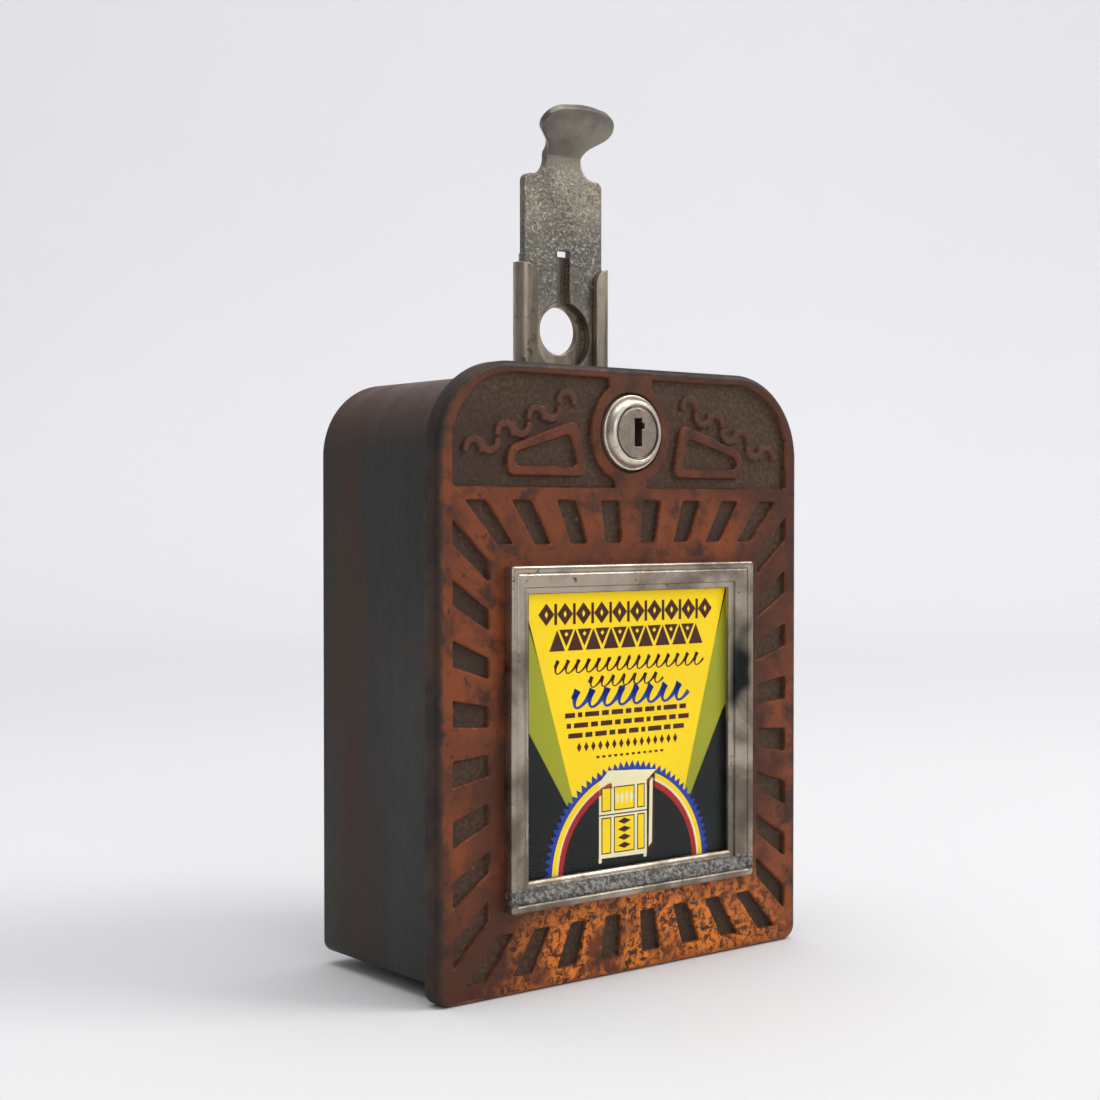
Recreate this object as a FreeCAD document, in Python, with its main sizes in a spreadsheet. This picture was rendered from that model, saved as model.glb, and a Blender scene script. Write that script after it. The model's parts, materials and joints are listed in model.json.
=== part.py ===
import FreeCAD, Part
import math
import os

import Sketcher
from FreeCAD import Placement, Rotation, Vector

# Coin box with a push-down coin slide: a cast front cover on a deep case, millimetres.
# X runs to the right of someone facing the box, Y to its back and Z up.
# The origin is under the middle of the box, on the surface that it stands on.

DOC = FreeCAD.newDocument("CoinBox")
SHEET = DOC.addObject("Spreadsheet::Sheet", "Sizes")

SIZES = {
    # Box: a cover with a rim all round, and the case that reaches into the rim
    "cover_width": 119.4,
    "cover_height": 153.0,
    "total_depth": 57.0,
    "cover_top_radius": 22.0,
    "cover_bottom_radius": 4.0,
    "rim_depth": 5.9,
    "rim_wall": 2.6,
    "face_thickness": 3.2,
    "edge_round": 1.6,
    "rim_gap": 0.5,
    "case_wall": 2.5,
    "case_bottom_radius": 3.0,
    "case_edge_round": 1.8,
    # Relief on the cover: rays round the picture, a panel above them, a boss round the lock
    "relief_depth": 1.4,
    "border_side": 4.3,
    "border_bottom": 4.4,
    "border_top": 2.6,
    "panel_height": 27.8,
    "panel_corner_radius": 18.0,
    "band_height": 3.0,
    "ray_length": 10.8,
    "ray_inner_width": 5.2,
    "ray_end_gap_x": 5.05,
    "ray_end_gap_z": 6.375,
    "boss_radius": 13.0,
    "boss_neck_width": 14.0,
    "boss_foot_width": 10.0,
    "frame_line": 2.6,
    "frame_from_middle": 14.2,
    "frame_lean": 3.0,
    "frame_from_side": 16.0,
    "frame_above_panel": 2.8,
    "frame_tall": 14.4,
    "frame_short": 7.0,
    "scroll_line": 2.0,
    "scroll_relief": 0.9,
    "scroll_slope": 23.4,
    "scroll_foot": 8.0,
    "scroll_from_side": 8.6,
    "scroll_from_middle": 18.2,
    # Picture: bezel, glass, card and board, held from behind
    "bezel_margin_x": 4.3,
    "bezel_margin_z": 5.1,
    "bezel_frame": 7.0,
    "bezel_proud": 3.1,
    "bezel_seat": 3.7,
    "skirt_gap": 0.1,
    "skirt_wall": 0.8,
    "bead_round": 0.8,
    "slope_from": 2.1,
    "slope_to": 5.4,
    "slope_proud": 1.7,
    "ledge_proud": 1.2,
    "lip_from": 6.0,
    "lip_proud": 0.7,
    "glass_thickness": 1.2,
    "card_thickness": 0.3,
    "tab_width": 8.0,
    "strip_width": 10.0,
    "strip_thickness": 0.8,
    "strip_screw_from_opening": 2.6,
    "strip_screw_from_end": 11.0,
    "strip_beyond_screw": 4.0,
    # Lock
    "lock_below_top": 16.3,
    "ring_radius": 9.5,
    "ring_front_radius": 7.6,
    "ring_gap": 0.6,
    "lock_proud": 2.6,
    "barrel_radius": 8.0,
    "plug_radius": 6.4,
    "running_gap": 0.06,
    "plug_recess_radius": 6.9,
    "plug_recess_depth": 1.4,
    "key_slot_width": 2.5,
    "key_slot_height": 7.2,
    "key_slot_depth": 8.0,
    "barrel_end": 9.0,
    "nut_depth": 3.0,
    "nut_flange": 4.0,
    "tail_radius": 3.0,
    "washer_sheet": 0.6,
    "cam_length": 8.6,
    "cam_width": 8.0,
    "cam_thickness": 2.0,
    "keeper_gap": 0.6,
    "cam_gap": 0.4,
    "keeper_thickness": 2.0,
    "keeper_width": 18.0,
    "keeper_drop": 3.8,
    "keeper_reach": 10.0,
    # Hinge on the right, in the step between the cover's rim and the case
    "knuckle_gap": 0.12,
    "knuckle_length": 8.0,
    "knuckle_end_gap": 0.2,
    "hinge_pin_radius": 0.8,
    "hinge_low": 28.0,
    "hinge_below_top": 49.0,
    "knuckle_root": 0.5,
    # Coin slide and its guide
    "slide_setback": 27.4,
    "slide_width": 26.0,
    "slide_thickness": 2.0,
    "slide_stroke": 28.0,
    "coin_hole_above_cover": 9.9,
    "coin_hole_radius": 9.15,
    "slot_width": 4.3,
    "slot_above_hole": 22.7,
    "slot_below_hole": 26.9,
    "shoulder_above_hole": 41.9,
    "shoulder_radius": 2.0,
    "neck_half_width": 5.75,
    "neck_radius": 4.6,
    "neck_height": 5.4,
    "tab_tilt": 44.0,
    "tab_length": 14.6,
    "tab_half_width": 11.4,
    "slide_below_hole": 68.9,
    "lug_half_width": 5.0,
    "guide_sheet": 1.6,
    "guide_bend_radius": 2.6,
    "guide_side_gap": 0.6,
    "guide_face_gap": 0.2,
    "guide_lip": 5.2,
    "lip_top_above_hole": 18.6,
    "lip_corner_radius": 4.0,
    "guide_back_above_lips": 2.7,
    "guide_back_shoulder": 1.0,
    "guide_below_slide": 8.0,
    "sight_hole_radius": 6.3,
    "sight_hole_above_coin": 1.7,
    "slot_play": 0.4,
    # Return spring on its rod
    "rod_radius": 1.5,
    "rod_setback": 5.4,
    "spring_length": 40.0,
    "spring_radius": 3.0,
    "spring_wire": 0.45,
    "spring_turns": 9.0,
    "rod_top_above_lug": 7.0,
    "seat_sheet": 1.6,
    "seat_shelf_thickness": 2.0,
    "stripper_height": 9.0,
    "stripper_blade_half": 1.4,
    # Plate, posts and coin chute behind the guide
    "plate_beyond_post": 5.0,
    "plate_sheet": 1.6,
    "plate_top_below_hole": 15.9,
    "plate_length": 81.0,
    "post_from_guide": 3.8,
    "post_radius": 3.0,
    "window_half": 10.0,
    "window_above_stripper": 6.9,
    "chute_half_width": 9.5,
    "chute_depth": 6.2,
    "chute_sheet": 1.0,
    "chute_length": 86.9,
    "tray_sheet": 1.2,
    "tray_side_gap": 5.0,
    "tray_back_gap": 1.0,
    "tray_corner_radius": 4.0,
    "tray_clearance": 14.0,
    "tray_setback": 9.0,
    # Trip lever and switch
    "lever_below_hole": 66.9,
    "lever_setback": 3.0,
    "lever_reach": 9.6,
    "lever_tail": 5.4,
    "lever_half_thickness": 1.0,
    "lever_pin_radius": 1.0,
    "blade_sheet": 0.4,
    "switch_sheet": 1.2,
    "terminal_from_post": 1.1,
    "terminal_width": 20.0,
    "terminal_height": 12.0,
    "terminal_depth": 9.0,
    "insulator": 2.0,
    # Fixings in the back wall
    "mount_spacing_x": 76.0,
    "mount_spacing_z": 70.0,
    "mount_below_top": 25.0,
    "mount_hole_radius": 2.3,
    "cable_bore_radius": 5.5,
    "cable_hole_radius": 3.2,
    "cable_x": 30.0,
    "cable_height": 100.0,
}

for row, (alias, value) in enumerate(SIZES.items(), start=1):
    SHEET.set(f"A{row}", alias)
    SHEET.set(f"B{row}", str(value))
    SHEET.setAlias(f"B{row}", alias)
DOC.recompute()


class Size:
    """A length with its present number and the spreadsheet expression that gives it."""

    def __init__(self, number, text):
        self.number = number
        self.text = text

    def __add__(self, other):
        other = as_size(other)
        return Size(self.number + other.number, f"({self.text} + {other.text})")

    def __sub__(self, other):
        other = as_size(other)
        return Size(self.number - other.number, f"({self.text} - {other.text})")

    def __mul__(self, other):
        other = as_size(other)
        return Size(self.number * other.number, f"({self.text} * {other.text})")

    def __truediv__(self, other):
        other = as_size(other)
        return Size(self.number / other.number, f"({self.text} / {other.text})")

    def __radd__(self, other):
        return as_size(other) + self

    def __rsub__(self, other):
        return as_size(other) - self

    def __rmul__(self, other):
        return as_size(other) * self

    def __neg__(self):
        return as_size(0) - self


def as_size(value):
    if isinstance(value, Size):
        return value
    return Size(float(value), f"({float(value)!r})")


def size(alias):
    return Size(float(SHEET.get(alias)), f"Sizes.{alias}")


def bind(item, path, value):
    """Drives a property of an object from the spreadsheet."""
    item.setExpression(path, as_size(value).text)


# ---------------------------------------------------------------- sketches and bodies

PLANE_SIGN = {"XY": 1, "XZ": -1, "YZ": 1}


class Outline:
    """Collects lines, arcs and circles for one sketch, with a size on each of them."""

    def __init__(self, body, plane, level):
        self.sketch = body.newObject("Sketcher::SketchObject", body.Name + "_sketch")
        role = plane + "_Plane"
        support = next(item for item in body.Origin.OriginFeatures if item.Role == role)
        self.sketch.AttachmentSupport = [(support, "")]
        self.sketch.MapMode = "FlatFace"
        bind(self.sketch, "AttachmentOffset.Base.z", PLANE_SIGN[plane] * as_size(level))
        self.plane = plane
        self.shapes = []
        self.construction = []
        self.rules = []

    def add(self, shape, construction=False):
        self.shapes.append(shape)
        self.construction.append(construction)
        return len(self.shapes) - 1

    def place(self, index, position, u, v):
        """Ties a point of a shape to its distances from the sketch's origin."""
        self.rules.append((("DistanceX", -1, 1, index, position), u))
        self.rules.append((("DistanceY", -1, 1, index, position), v))

    def circle(self, u, v, radius):
        u, v, radius = as_size(u), as_size(v), as_size(radius)
        centre = Vector(u.number, v.number, 0)
        index = self.add(Part.Circle(centre, Vector(0, 0, 1), radius.number))
        self.place(index, 3, u, v)
        self.rules.append((("Radius", index), radius))
        return self

    def loop(self, corners):
        """Adds a closed outline of straight lines. A corner is (u, v) or (u, v, radius)."""
        points = [(as_size(c[0]), as_size(c[1])) for c in corners]
        radii = [as_size(c[2]) if len(c) > 2 else None for c in corners]
        flat = [Vector(u.number, v.number, 0) for u, v in points]
        count = len(points)
        ends = []
        for i, radius in enumerate(radii):
            if radius is None:
                ends.append((flat[i], flat[i], None))
                continue
            before = (flat[i - 1] - flat[i]).normalize()
            after = (flat[(i + 1) % count] - flat[i]).normalize()
            half = before.getAngle(after) / 2
            start = flat[i] + before * (radius.number / math.tan(half))
            end = flat[i] + after * (radius.number / math.tan(half))
            middle = (before + after).normalize() * (radius.number / math.sin(half))
            ends.append((start, end, flat[i] + middle))
        lines = []
        for i in range(count):
            following = (i + 1) % count
            lines.append(self.add(Part.LineSegment(ends[i][1], ends[following][0])))
        for i, radius in enumerate(radii):
            arriving, leaving = lines[i - 1], lines[i]
            if radius is None:
                self.rules.append((("Coincident", arriving, 2, leaving, 1), None))
                self.place(leaving, 1, *points[i])
            else:
                self.round_corner(arriving, leaving, ends[i], points[i], radius)
        for i, radius in enumerate(radii):
            if radius is not None:
                corner = self.add(Part.Point(flat[i]), True)
                self.place(corner, 1, *points[i])
                self.rules.append((("PointOnObject", corner, 1, lines[i - 1]), None))
                self.rules.append((("PointOnObject", corner, 1, lines[i]), None))
        return self

    def round_corner(self, arriving, leaving, ends, point, radius):
        start, end, centre = ends
        circle = Part.Circle(centre, Vector(0, 0, 1), radius.number)
        first = math.atan2(start.y - centre.y, start.x - centre.x)
        last = math.atan2(end.y - centre.y, end.x - centre.x)
        turns_left = (start - centre).cross(end - centre).z > 0
        if turns_left:
            arc = self.add(Part.ArcOfCircle(circle, first, last))
            near, far = 1, 2
        else:
            arc = self.add(Part.ArcOfCircle(circle, last, first))
            near, far = 2, 1
        self.rules.append((("Tangent", arriving, 2, arc, near), None))
        self.rules.append((("Tangent", arc, far, leaving, 1), None))
        self.rules.append((("Radius", arc), radius))

    def rectangle(self, u, v, radius=None):
        corners = [(u[0], v[0]), (u[1], v[0]), (u[1], v[1]), (u[0], v[1])]
        if radius is not None:
            corners = [corner + (radius,) for corner in corners]
        return self.loop(corners)

    def half_ring(self, u, v, radius, line, upper):
        """Adds half a flat ring, open downwards or upwards, with square ends."""
        u, v = as_size(u), as_size(v)
        outer = as_size(radius) + as_size(line) / 2
        inner = as_size(radius) - as_size(line) / 2
        centre = Vector(u.number, v.number, 0)
        first, last = (0, math.pi) if upper else (math.pi, 2 * math.pi)
        arcs = []
        for reach in (outer, inner):
            circle = Part.Circle(centre, Vector(0, 0, 1), reach.number)
            arcs.append(self.add(Part.ArcOfCircle(circle, first, last)))
            self.rules.append((("Radius", arcs[-1]), reach))
            self.place(arcs[-1], 3, u, v)
        for end, sign in ((1, 1), (2, -1)):
            sign = sign if upper else -sign
            near = Vector(u.number + sign * inner.number, v.number, 0)
            far = Vector(u.number + sign * outer.number, v.number, 0)
            joint = self.add(Part.LineSegment(near, far))
            self.rules.append((("Coincident", joint, 1, arcs[1], end), None))
            self.rules.append((("Coincident", joint, 2, arcs[0], end), None))
            self.rules.append((("DistanceY", -1, 1, joint, 1), v))
            self.rules.append((("DistanceY", -1, 1, joint, 2), v))
        return self

    def done(self):
        self.sketch.addGeometry(self.shapes, False)
        for index, construction in enumerate(self.construction):
            if construction:
                self.sketch.setConstruction(index, True)
        constraints = []
        for (kind, *where), value in self.rules:
            if value is not None:
                where.append(value.number)
            constraints.append(Sketcher.Constraint(kind, *where))
        self.sketch.addConstraint(constraints)
        for index, (_, value) in enumerate(self.rules):
            if value is not None and "Sizes." in value.text:
                bind(self.sketch, f"Constraints[{index}]", value)
        return self.sketch


def new_body(name):
    return DOC.addObject("PartDesign::Body", name)


def pad(body, outline, length):
    """Adds material from the sketch's plane towards the axis that the plane faces."""
    feature = body.newObject("PartDesign::Pad", body.Name + "_pad")
    feature.Profile = outline.done()
    bind(feature, "Length", length)
    feature.Reversed = outline.plane == "XZ"
    return feature


def pocket(body, outline, length):
    """Cuts from the sketch's plane towards the axis that the plane faces."""
    DOC.recompute()
    before = body.Tip.Shape.Volume
    feature = body.newObject("PartDesign::Pocket", body.Name + "_pocket")
    feature.Profile = outline.done()
    bind(feature, "Length", length)
    feature.Reversed = outline.plane != "XZ"
    DOC.recompute()
    if feature.Shape.Volume >= before - 1e-6:
        raise RuntimeError(f"a pocket of {body.Name} cuts nothing")
    return feature


def round_edges(body, radius, wanted):
    """Rounds the edges of a body that the test picks out."""
    DOC.recompute()
    tip = body.Tip
    names = [f"Edge{n}" for n, edge in enumerate(tip.Shape.Edges, start=1) if wanted(edge)]
    feature = body.newObject("PartDesign::Fillet", body.Name + "_fillet")
    feature.Base = (tip, names)
    bind(feature, "Radius", radius)
    return feature


# ---------------------------------------------------------------- solids and booleans

AXIS_TURN = {
    "X": Rotation(Vector(0, 1, 0), 90),
    "Y": Rotation(Vector(1, 0, 0), -90),
    "Z": Rotation(),
}


def put(item, x, y, z):
    for letter, value in zip("xyz", (x, y, z)):
        bind(item, "Placement.Base." + letter, value)
    return item


def box(name, x, y, z):
    item = DOC.addObject("Part::Box", name)
    for edge, (low, high) in zip(("Length", "Width", "Height"), (x, y, z)):
        bind(item, edge, as_size(high) - low)
    return put(item, x[0], y[0], z[0])


def along(axis, centre, start):
    """The point on an axis-parallel line: centre holds the two other coordinates."""
    first, second = centre
    if axis == "X":
        return start, first, second
    if axis == "Y":
        return first, start, second
    return first, second, start


def cylinder(name, axis, centre, radius, span):
    item = DOC.addObject("Part::Cylinder", name)
    item.Placement = Placement(Vector(), AXIS_TURN[axis])
    bind(item, "Radius", radius)
    bind(item, "Height", as_size(span[1]) - span[0])
    return put(item, *along(axis, centre, span[0]))


def cone(name, axis, centre, radii, span):
    item = DOC.addObject("Part::Cone", name)
    item.Placement = Placement(Vector(), AXIS_TURN[axis])
    bind(item, "Radius1", radii[0])
    bind(item, "Radius2", radii[1])
    bind(item, "Height", as_size(span[1]) - span[0])
    return put(item, *along(axis, centre, span[0]))


def hexagon(name, axis, centre, radius, span):
    item = DOC.addObject("Part::Prism", name)
    item.Polygon = 6
    item.Placement = Placement(Vector(), AXIS_TURN[axis])
    bind(item, "Circumradius", radius)
    bind(item, "Height", as_size(span[1]) - span[0])
    return put(item, *along(axis, centre, span[0]))


def frustum(name, centre_z, near, far):
    """A block along Y, centred on x = 0, whose rectangle changes from near to far."""
    item = DOC.addObject("Part::Wedge", name)
    near_x, near_z, near_y = near
    far_x, far_z, far_y = far
    values = {
        "Xmin": -near_x, "Xmax": near_x, "Zmin": -near_z, "Zmax": near_z,
        "X2min": -far_x, "X2max": far_x, "Z2min": -far_z, "Z2max": far_z,
        "Ymin": as_size(0), "Ymax": far_y - near_y,
    }
    for key, value in values.items():
        bind(item, key, value)
    return put(item, 0, near_y, centre_z)


def fuse(name, *items):
    item = DOC.addObject("Part::MultiFuse", name)
    item.Shapes = list(items)
    item.Refine = True
    return item


def cut(name, base, *tools):
    item = DOC.addObject("Part::Cut", name)
    item.Base = base
    item.Tool = tools[0] if len(tools) == 1 else fuse(name + "_tools", *tools)
    item.Refine = True
    return item


def group(name, items):
    """Several equal pieces, kept as separate solids of one sub-part."""
    item = DOC.addObject("Part::Compound", name)
    item.Links = list(items)
    return item


# A sheet-metal screw's slot, and how far a cutting tool runs past what it cuts
SLOT_DEPTH = 0.6
SLOT_HALF = 0.35
PAST = 1.0

NODES = []


def node(item, label):
    item.Label = label
    NODES.append(item)
    return item


def cheese_head(name, axis, centre, face, head, shank):
    """A slotted screw. head and shank are (radius, length); a negative head length points back."""
    head_radius, head_length = head
    shank_radius, shank_length = shank
    outward = as_size(head_length).number > 0
    low, high = (face, face + head_length) if outward else (face + head_length, face)
    cap = cylinder(name + "_head", axis, centre, head_radius, (low, high))
    if outward:
        stem = cylinder(name + "_stem", axis, centre, shank_radius, (face - shank_length, face))
        slot = (high - SLOT_DEPTH, high + PAST)
    else:
        stem = cylinder(name + "_stem", axis, centre, shank_radius, (face, face + shank_length))
        slot = (low - PAST, low + SLOT_DEPTH)
    wide = (centre[0] - head_radius, centre[0] + head_radius)
    thin = (centre[1] - SLOT_HALF, centre[1] + SLOT_HALF)
    if axis == "X":
        bar = box(name + "_slot", slot, wide, thin)
    elif axis == "Y":
        bar = box(name + "_slot", wide, slot, thin)
    else:
        bar = box(name + "_slot", wide, thin, slot)
    return cut(name, fuse(name + "_blank", cap, stem), bar)


# ---------------------------------------------------------------- shared places

front = -(size("total_depth") - size("bezel_proud")) / 2


def at(depth):
    """The y of a depth behind the cover's face."""
    return front + depth


half_width = size("cover_width") / 2
height = size("cover_height")
inset = size("rim_wall") + size("rim_gap")
case_half = half_width - inset
case_top = height - inset
case_front = at(size("face_thickness") + size("rim_gap"))
case_back = at(size("total_depth"))
face_rear = at(size("face_thickness"))
floor_top = inset + size("case_wall")
ceiling = case_top - size("case_wall")
back_inner = case_back - size("case_wall")
inner_half = case_half - size("case_wall")

panel_top = height - size("border_top")
panel_bottom = panel_top - size("panel_height")
panel_half = half_width - size("border_side")
ray_top = panel_bottom - size("band_height")
picture_z = (ray_top + size("border_bottom")) / 2
ray_half_z = (ray_top - size("border_bottom")) / 2
ray_inner_x = panel_half - size("ray_length")
ray_inner_z = ray_half_z - size("ray_length")
bezel_half_x = ray_inner_x - size("bezel_margin_x")
bezel_half_z = ray_inner_z - size("bezel_margin_z")
opening_x = bezel_half_x - size("bezel_seat")
opening_z = bezel_half_z - size("bezel_seat")
skirt_x = opening_x - size("skirt_gap")
skirt_z = opening_z - size("skirt_gap")
pane_x = skirt_x - size("skirt_wall") - size("skirt_gap")
pane_z = skirt_z - size("skirt_wall") - size("skirt_gap")

lock_z = height - size("lock_below_top")

knuckle_radius = inset / 2 - size("knuckle_gap")
hinge_x = case_half + inset / 2
hinge_y = at(size("rim_depth")) + size("knuckle_gap") + knuckle_radius
hinge_levels = (size("hinge_low"), height - size("hinge_below_top"))

coin_z = height + size("coin_hole_above_cover")
slide_y = at(size("slide_setback"))
slide_back = slide_y + size("slide_thickness")
slide_half = size("slide_width") / 2
slide_bottom = coin_z - size("slide_below_hole")
guide_inner = slide_half + size("guide_side_gap")
guide_outer = guide_inner + size("guide_sheet")
lip_inner = guide_outer - size("guide_lip")
lip_back = slide_y - size("guide_face_gap")
lip_front = lip_back - size("guide_sheet")
guide_back_front = slide_back + size("guide_face_gap")
guide_back = guide_back_front + size("guide_sheet")
guide_bottom = slide_bottom - size("slide_stroke") - size("guide_below_slide")
lip_top = coin_z + size("lip_top_above_hole")
guide_top = lip_top + size("guide_back_above_lips")
drop_z = coin_z - size("slide_stroke")

plate_back = guide_back + size("plate_sheet")
plate_top = coin_z - size("plate_top_below_hole")
plate_bottom = plate_top - size("plate_length")
chute_back = plate_back + size("chute_depth") + size("chute_sheet")
chute_bottom = plate_top - size("chute_length")

rod_y = lip_front - size("rod_setback")
seat_z = slide_bottom - size("spring_length")
lug_top = slide_bottom + size("slide_thickness")

lever_y = chute_back + size("lever_setback")
lever_z = coin_z - size("lever_below_hole")

# Screws come in two sizes. Each has a shank radius, and a head of (radius, height).
SCREW_RADIUS = 1.4
SCREW_HEAD = (2.5, 1.6)
SMALL_RADIUS = 1.2
SMALL_HEAD = (2.2, 1.3)
COVER_SCREW_DEPTH = 2.2
KEEPER_SCREW_X = 5.5
KEEPER_SCREW_BACK = 7.4
KEEPER_SHELF = 1.6
GUIDE_SCREW_X = 12.6
GUIDE_SCREW_GRIP = 1.6
CAM_SCREW_GRIP = 4.0
LUG_PAST_ROD = 4.0
BUMPER_RADIUS = 4.0
BUMPER_THICKNESS = 1.6
NUT_RADIUS = 3.2
NUT_HEIGHT = 2.4
POST_SCREW_GRIP = 5.0
SCROLL_COUNT = 7
RAYS_PER_SIDE = 8
LEVER_SLOT = 2.6
LEVER_SLOT_REACH = 9.0
PAIR = (-1, 1)
FOUR = [(side, level) for level in PAIR for side in PAIR]


def backward(head):
    """The same screw head, on the front of the face that it holds."""
    radius, length = head
    return radius, -length


def round_topped(outline, half, bottom, top, bottom_radius, top_radius):
    """The box's outline: upright sides, large top corners and small bottom ones."""
    return outline.loop([
        (-half, bottom, bottom_radius),
        (half, bottom, bottom_radius),
        (half, top, top_radius),
        (-half, top, top_radius),
    ])


def lies_in_plane(edge, y):
    bounds = edge.BoundBox
    return abs(bounds.YMin - y.number) < 1e-4 and abs(bounds.YMax - y.number) < 1e-4


# ---------------------------------------------------------------- front cover

strip_screw_x = opening_x + size("strip_screw_from_opening")
strip_screw_z = opening_z - size("strip_screw_from_end")


def strip_screw_places():
    return [(side * strip_screw_x, picture_z + level * strip_screw_z) for side, level in FOUR]


def cover_blank(body):
    blank = Outline(body, "XZ", front)
    round_topped(blank, half_width, 0, height, size("cover_bottom_radius"), size("cover_top_radius"))
    pad(body, blank, size("rim_depth"))
    round_edges(body, size("edge_round"), lambda edge: lies_in_plane(edge, front))
    wall = size("rim_wall")
    hollow = Outline(body, "XZ", face_rear)
    round_topped(hollow, half_width - wall, wall, height - wall,
                 size("cover_bottom_radius") - wall, size("cover_top_radius") - wall)
    pocket(body, hollow, size("rim_depth") - size("face_thickness"))


def cover_panel(body):
    """Sinks the panel above the picture and leaves the boss round the lock."""
    panel = Outline(body, "XZ", front)
    panel.loop([
        (-panel_half, panel_bottom, 1.2),
        (panel_half, panel_bottom, 1.2),
        (panel_half, panel_top, size("panel_corner_radius")),
        (-panel_half, panel_top, size("panel_corner_radius")),
    ])
    pocket(body, panel, size("relief_depth"))
    pad(body, Outline(body, "XZ", front).circle(0, lock_z, size("boss_radius")), size("relief_depth"))
    neck = size("boss_neck_width") / 2
    foot = size("boss_foot_width") / 2
    upper = Outline(body, "XZ", front).rectangle((-neck, neck), (lock_z, panel_top + PAST))
    pad(body, upper, size("relief_depth"))
    lower = Outline(body, "XZ", front).rectangle((-foot, foot), (panel_bottom - PAST, lock_z))
    pad(body, lower, size("relief_depth"))


def cover_frames(body):
    """Two raised frames of a leaning triangle, one each side of the lock."""
    line = size("frame_line")
    near = size("frame_from_middle")
    far = panel_half - size("frame_from_side")
    leaning = near + size("frame_lean")
    foot = panel_bottom + size("frame_above_panel")
    tall = foot + size("frame_tall")
    short = foot + size("frame_short")
    for side in PAIR:
        outer = [
            (side * near, foot, 2.2),
            (side * leaning, tall, 2.6),
            (side * far, short, 4.0),
            (side * far, foot, 2.6),
        ]
        inner = [
            (side * (near + 1.25 * line), foot + line, 1.2),
            (side * (leaning + 0.95 * line), tall - 1.5 * line, 1.2),
            (side * (far - line), short - 0.55 * line, 1.2),
            (side * (far - line), foot + line, 1.2),
        ]
        frame = Outline(body, "XZ", front).loop(outer).loop(inner)
        pad(body, frame, size("relief_depth"))


def cover_scrolls(body):
    """A running wave of half rings that climbs towards the lock on each side."""
    start_x = half_width - size("scroll_from_side")
    radius = (start_x - size("scroll_from_middle")) / (2 * SCROLL_COUNT)
    rise = math.tan(math.radians(SIZES["scroll_slope"]))
    for side in PAIR:
        for upper in (True, False):
            wave = Outline(body, "XZ", at(size("relief_depth") - size("scroll_relief")))
            for step in range(0 if upper else 1, SCROLL_COUNT, 2):
                reach = (2 * step + 1) * radius
                level = panel_bottom + size("scroll_foot") + rise * reach
                wave.half_ring(side * (start_x - reach), level, radius, size("scroll_line"), upper)
            pad(body, wave, size("scroll_relief"))


def ray_corners(across_inner, along_inner, growth, width, sideways, sign):
    """Corners of one slot, which widens outwards along lines from the picture's centre."""
    edges = [along_inner - width / 2, along_inner + width / 2]
    near = [(edge, across_inner) for edge in edges]
    far = [(edge * growth, across_inner * growth) for edge in reversed(edges)]
    corners = []
    for run, out in near + far:
        if sideways:
            corners.append((sign * out, picture_z + run))
        else:
            corners.append((run, picture_z + sign * out))
    return corners


def cover_rays(body):
    """Four rows of slots that radiate from the middle of the picture."""
    rows = [
        (True, ray_inner_x, panel_half / ray_inner_x, ray_inner_z - size("ray_end_gap_z")),
        (False, ray_inner_z, ray_half_z / ray_inner_z, ray_inner_x - size("ray_end_gap_x")),
    ]
    for sideways, inner, growth, last in rows:
        for sign in PAIR:
            slots = Outline(body, "XZ", front)
            for place in range(RAYS_PER_SIDE):
                middle = (2 * place / (RAYS_PER_SIDE - 1) - 1) * last
                width = size("ray_inner_width")
                slots.loop(ray_corners(inner, middle, growth, width, sideways, sign))
            pocket(body, slots, size("relief_depth"))


def cover_openings(body):
    seat = Outline(body, "XZ", front).circle(0, lock_z, size("ring_radius") + size("ring_gap"))
    pocket(body, seat, size("relief_depth"))
    bore = Outline(body, "XZ", front).circle(0, lock_z, size("barrel_radius") + size("skirt_gap"))
    pocket(body, bore, size("face_thickness"))
    window = Outline(body, "XZ", front)
    window.rectangle((-opening_x, opening_x), (picture_z - opening_z, picture_z + opening_z))
    pocket(body, window, size("face_thickness"))
    holes = Outline(body, "XZ", face_rear - COVER_SCREW_DEPTH)
    for x, z in strip_screw_places():
        holes.circle(x, z, SCREW_RADIUS)
    pocket(body, holes, COVER_SCREW_DEPTH)


def knuckle(body, low, length, foot_x, foot_y):
    """One knuckle on the hinge line, with a foot that joins it to its casting."""
    foot = Outline(body, "XY", low).rectangle(foot_x, foot_y)
    pad(body, foot, length)
    pad(body, Outline(body, "XY", low).circle(hinge_x, hinge_y, knuckle_radius), length)


def cover_knuckles(body):
    half = size("knuckle_length") / 2
    inner = half_width - size("rim_wall")
    for level in hinge_levels:
        foot_y = (at(size("rim_depth")) - size("knuckle_root"), hinge_y)
        knuckle(body, level - half, 2 * half, (inner, hinge_x + knuckle_radius), foot_y)
    reach = hinge_levels[1] - hinge_levels[0] + 4 * half
    bore_radius = size("hinge_pin_radius") + size("running_gap")
    bore = Outline(body, "XY", hinge_levels[0] - 2 * half).circle(hinge_x, hinge_y, bore_radius)
    pocket(body, bore, reach)


def front_cover():
    body = new_body("FrontCover")
    cover_blank(body)
    cover_panel(body)
    cover_frames(body)
    cover_scrolls(body)
    cover_rays(body)
    cover_openings(body)
    cover_knuckles(body)
    node(body, "front_cover")


# ---------------------------------------------------------------- picture and its fixings

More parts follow.
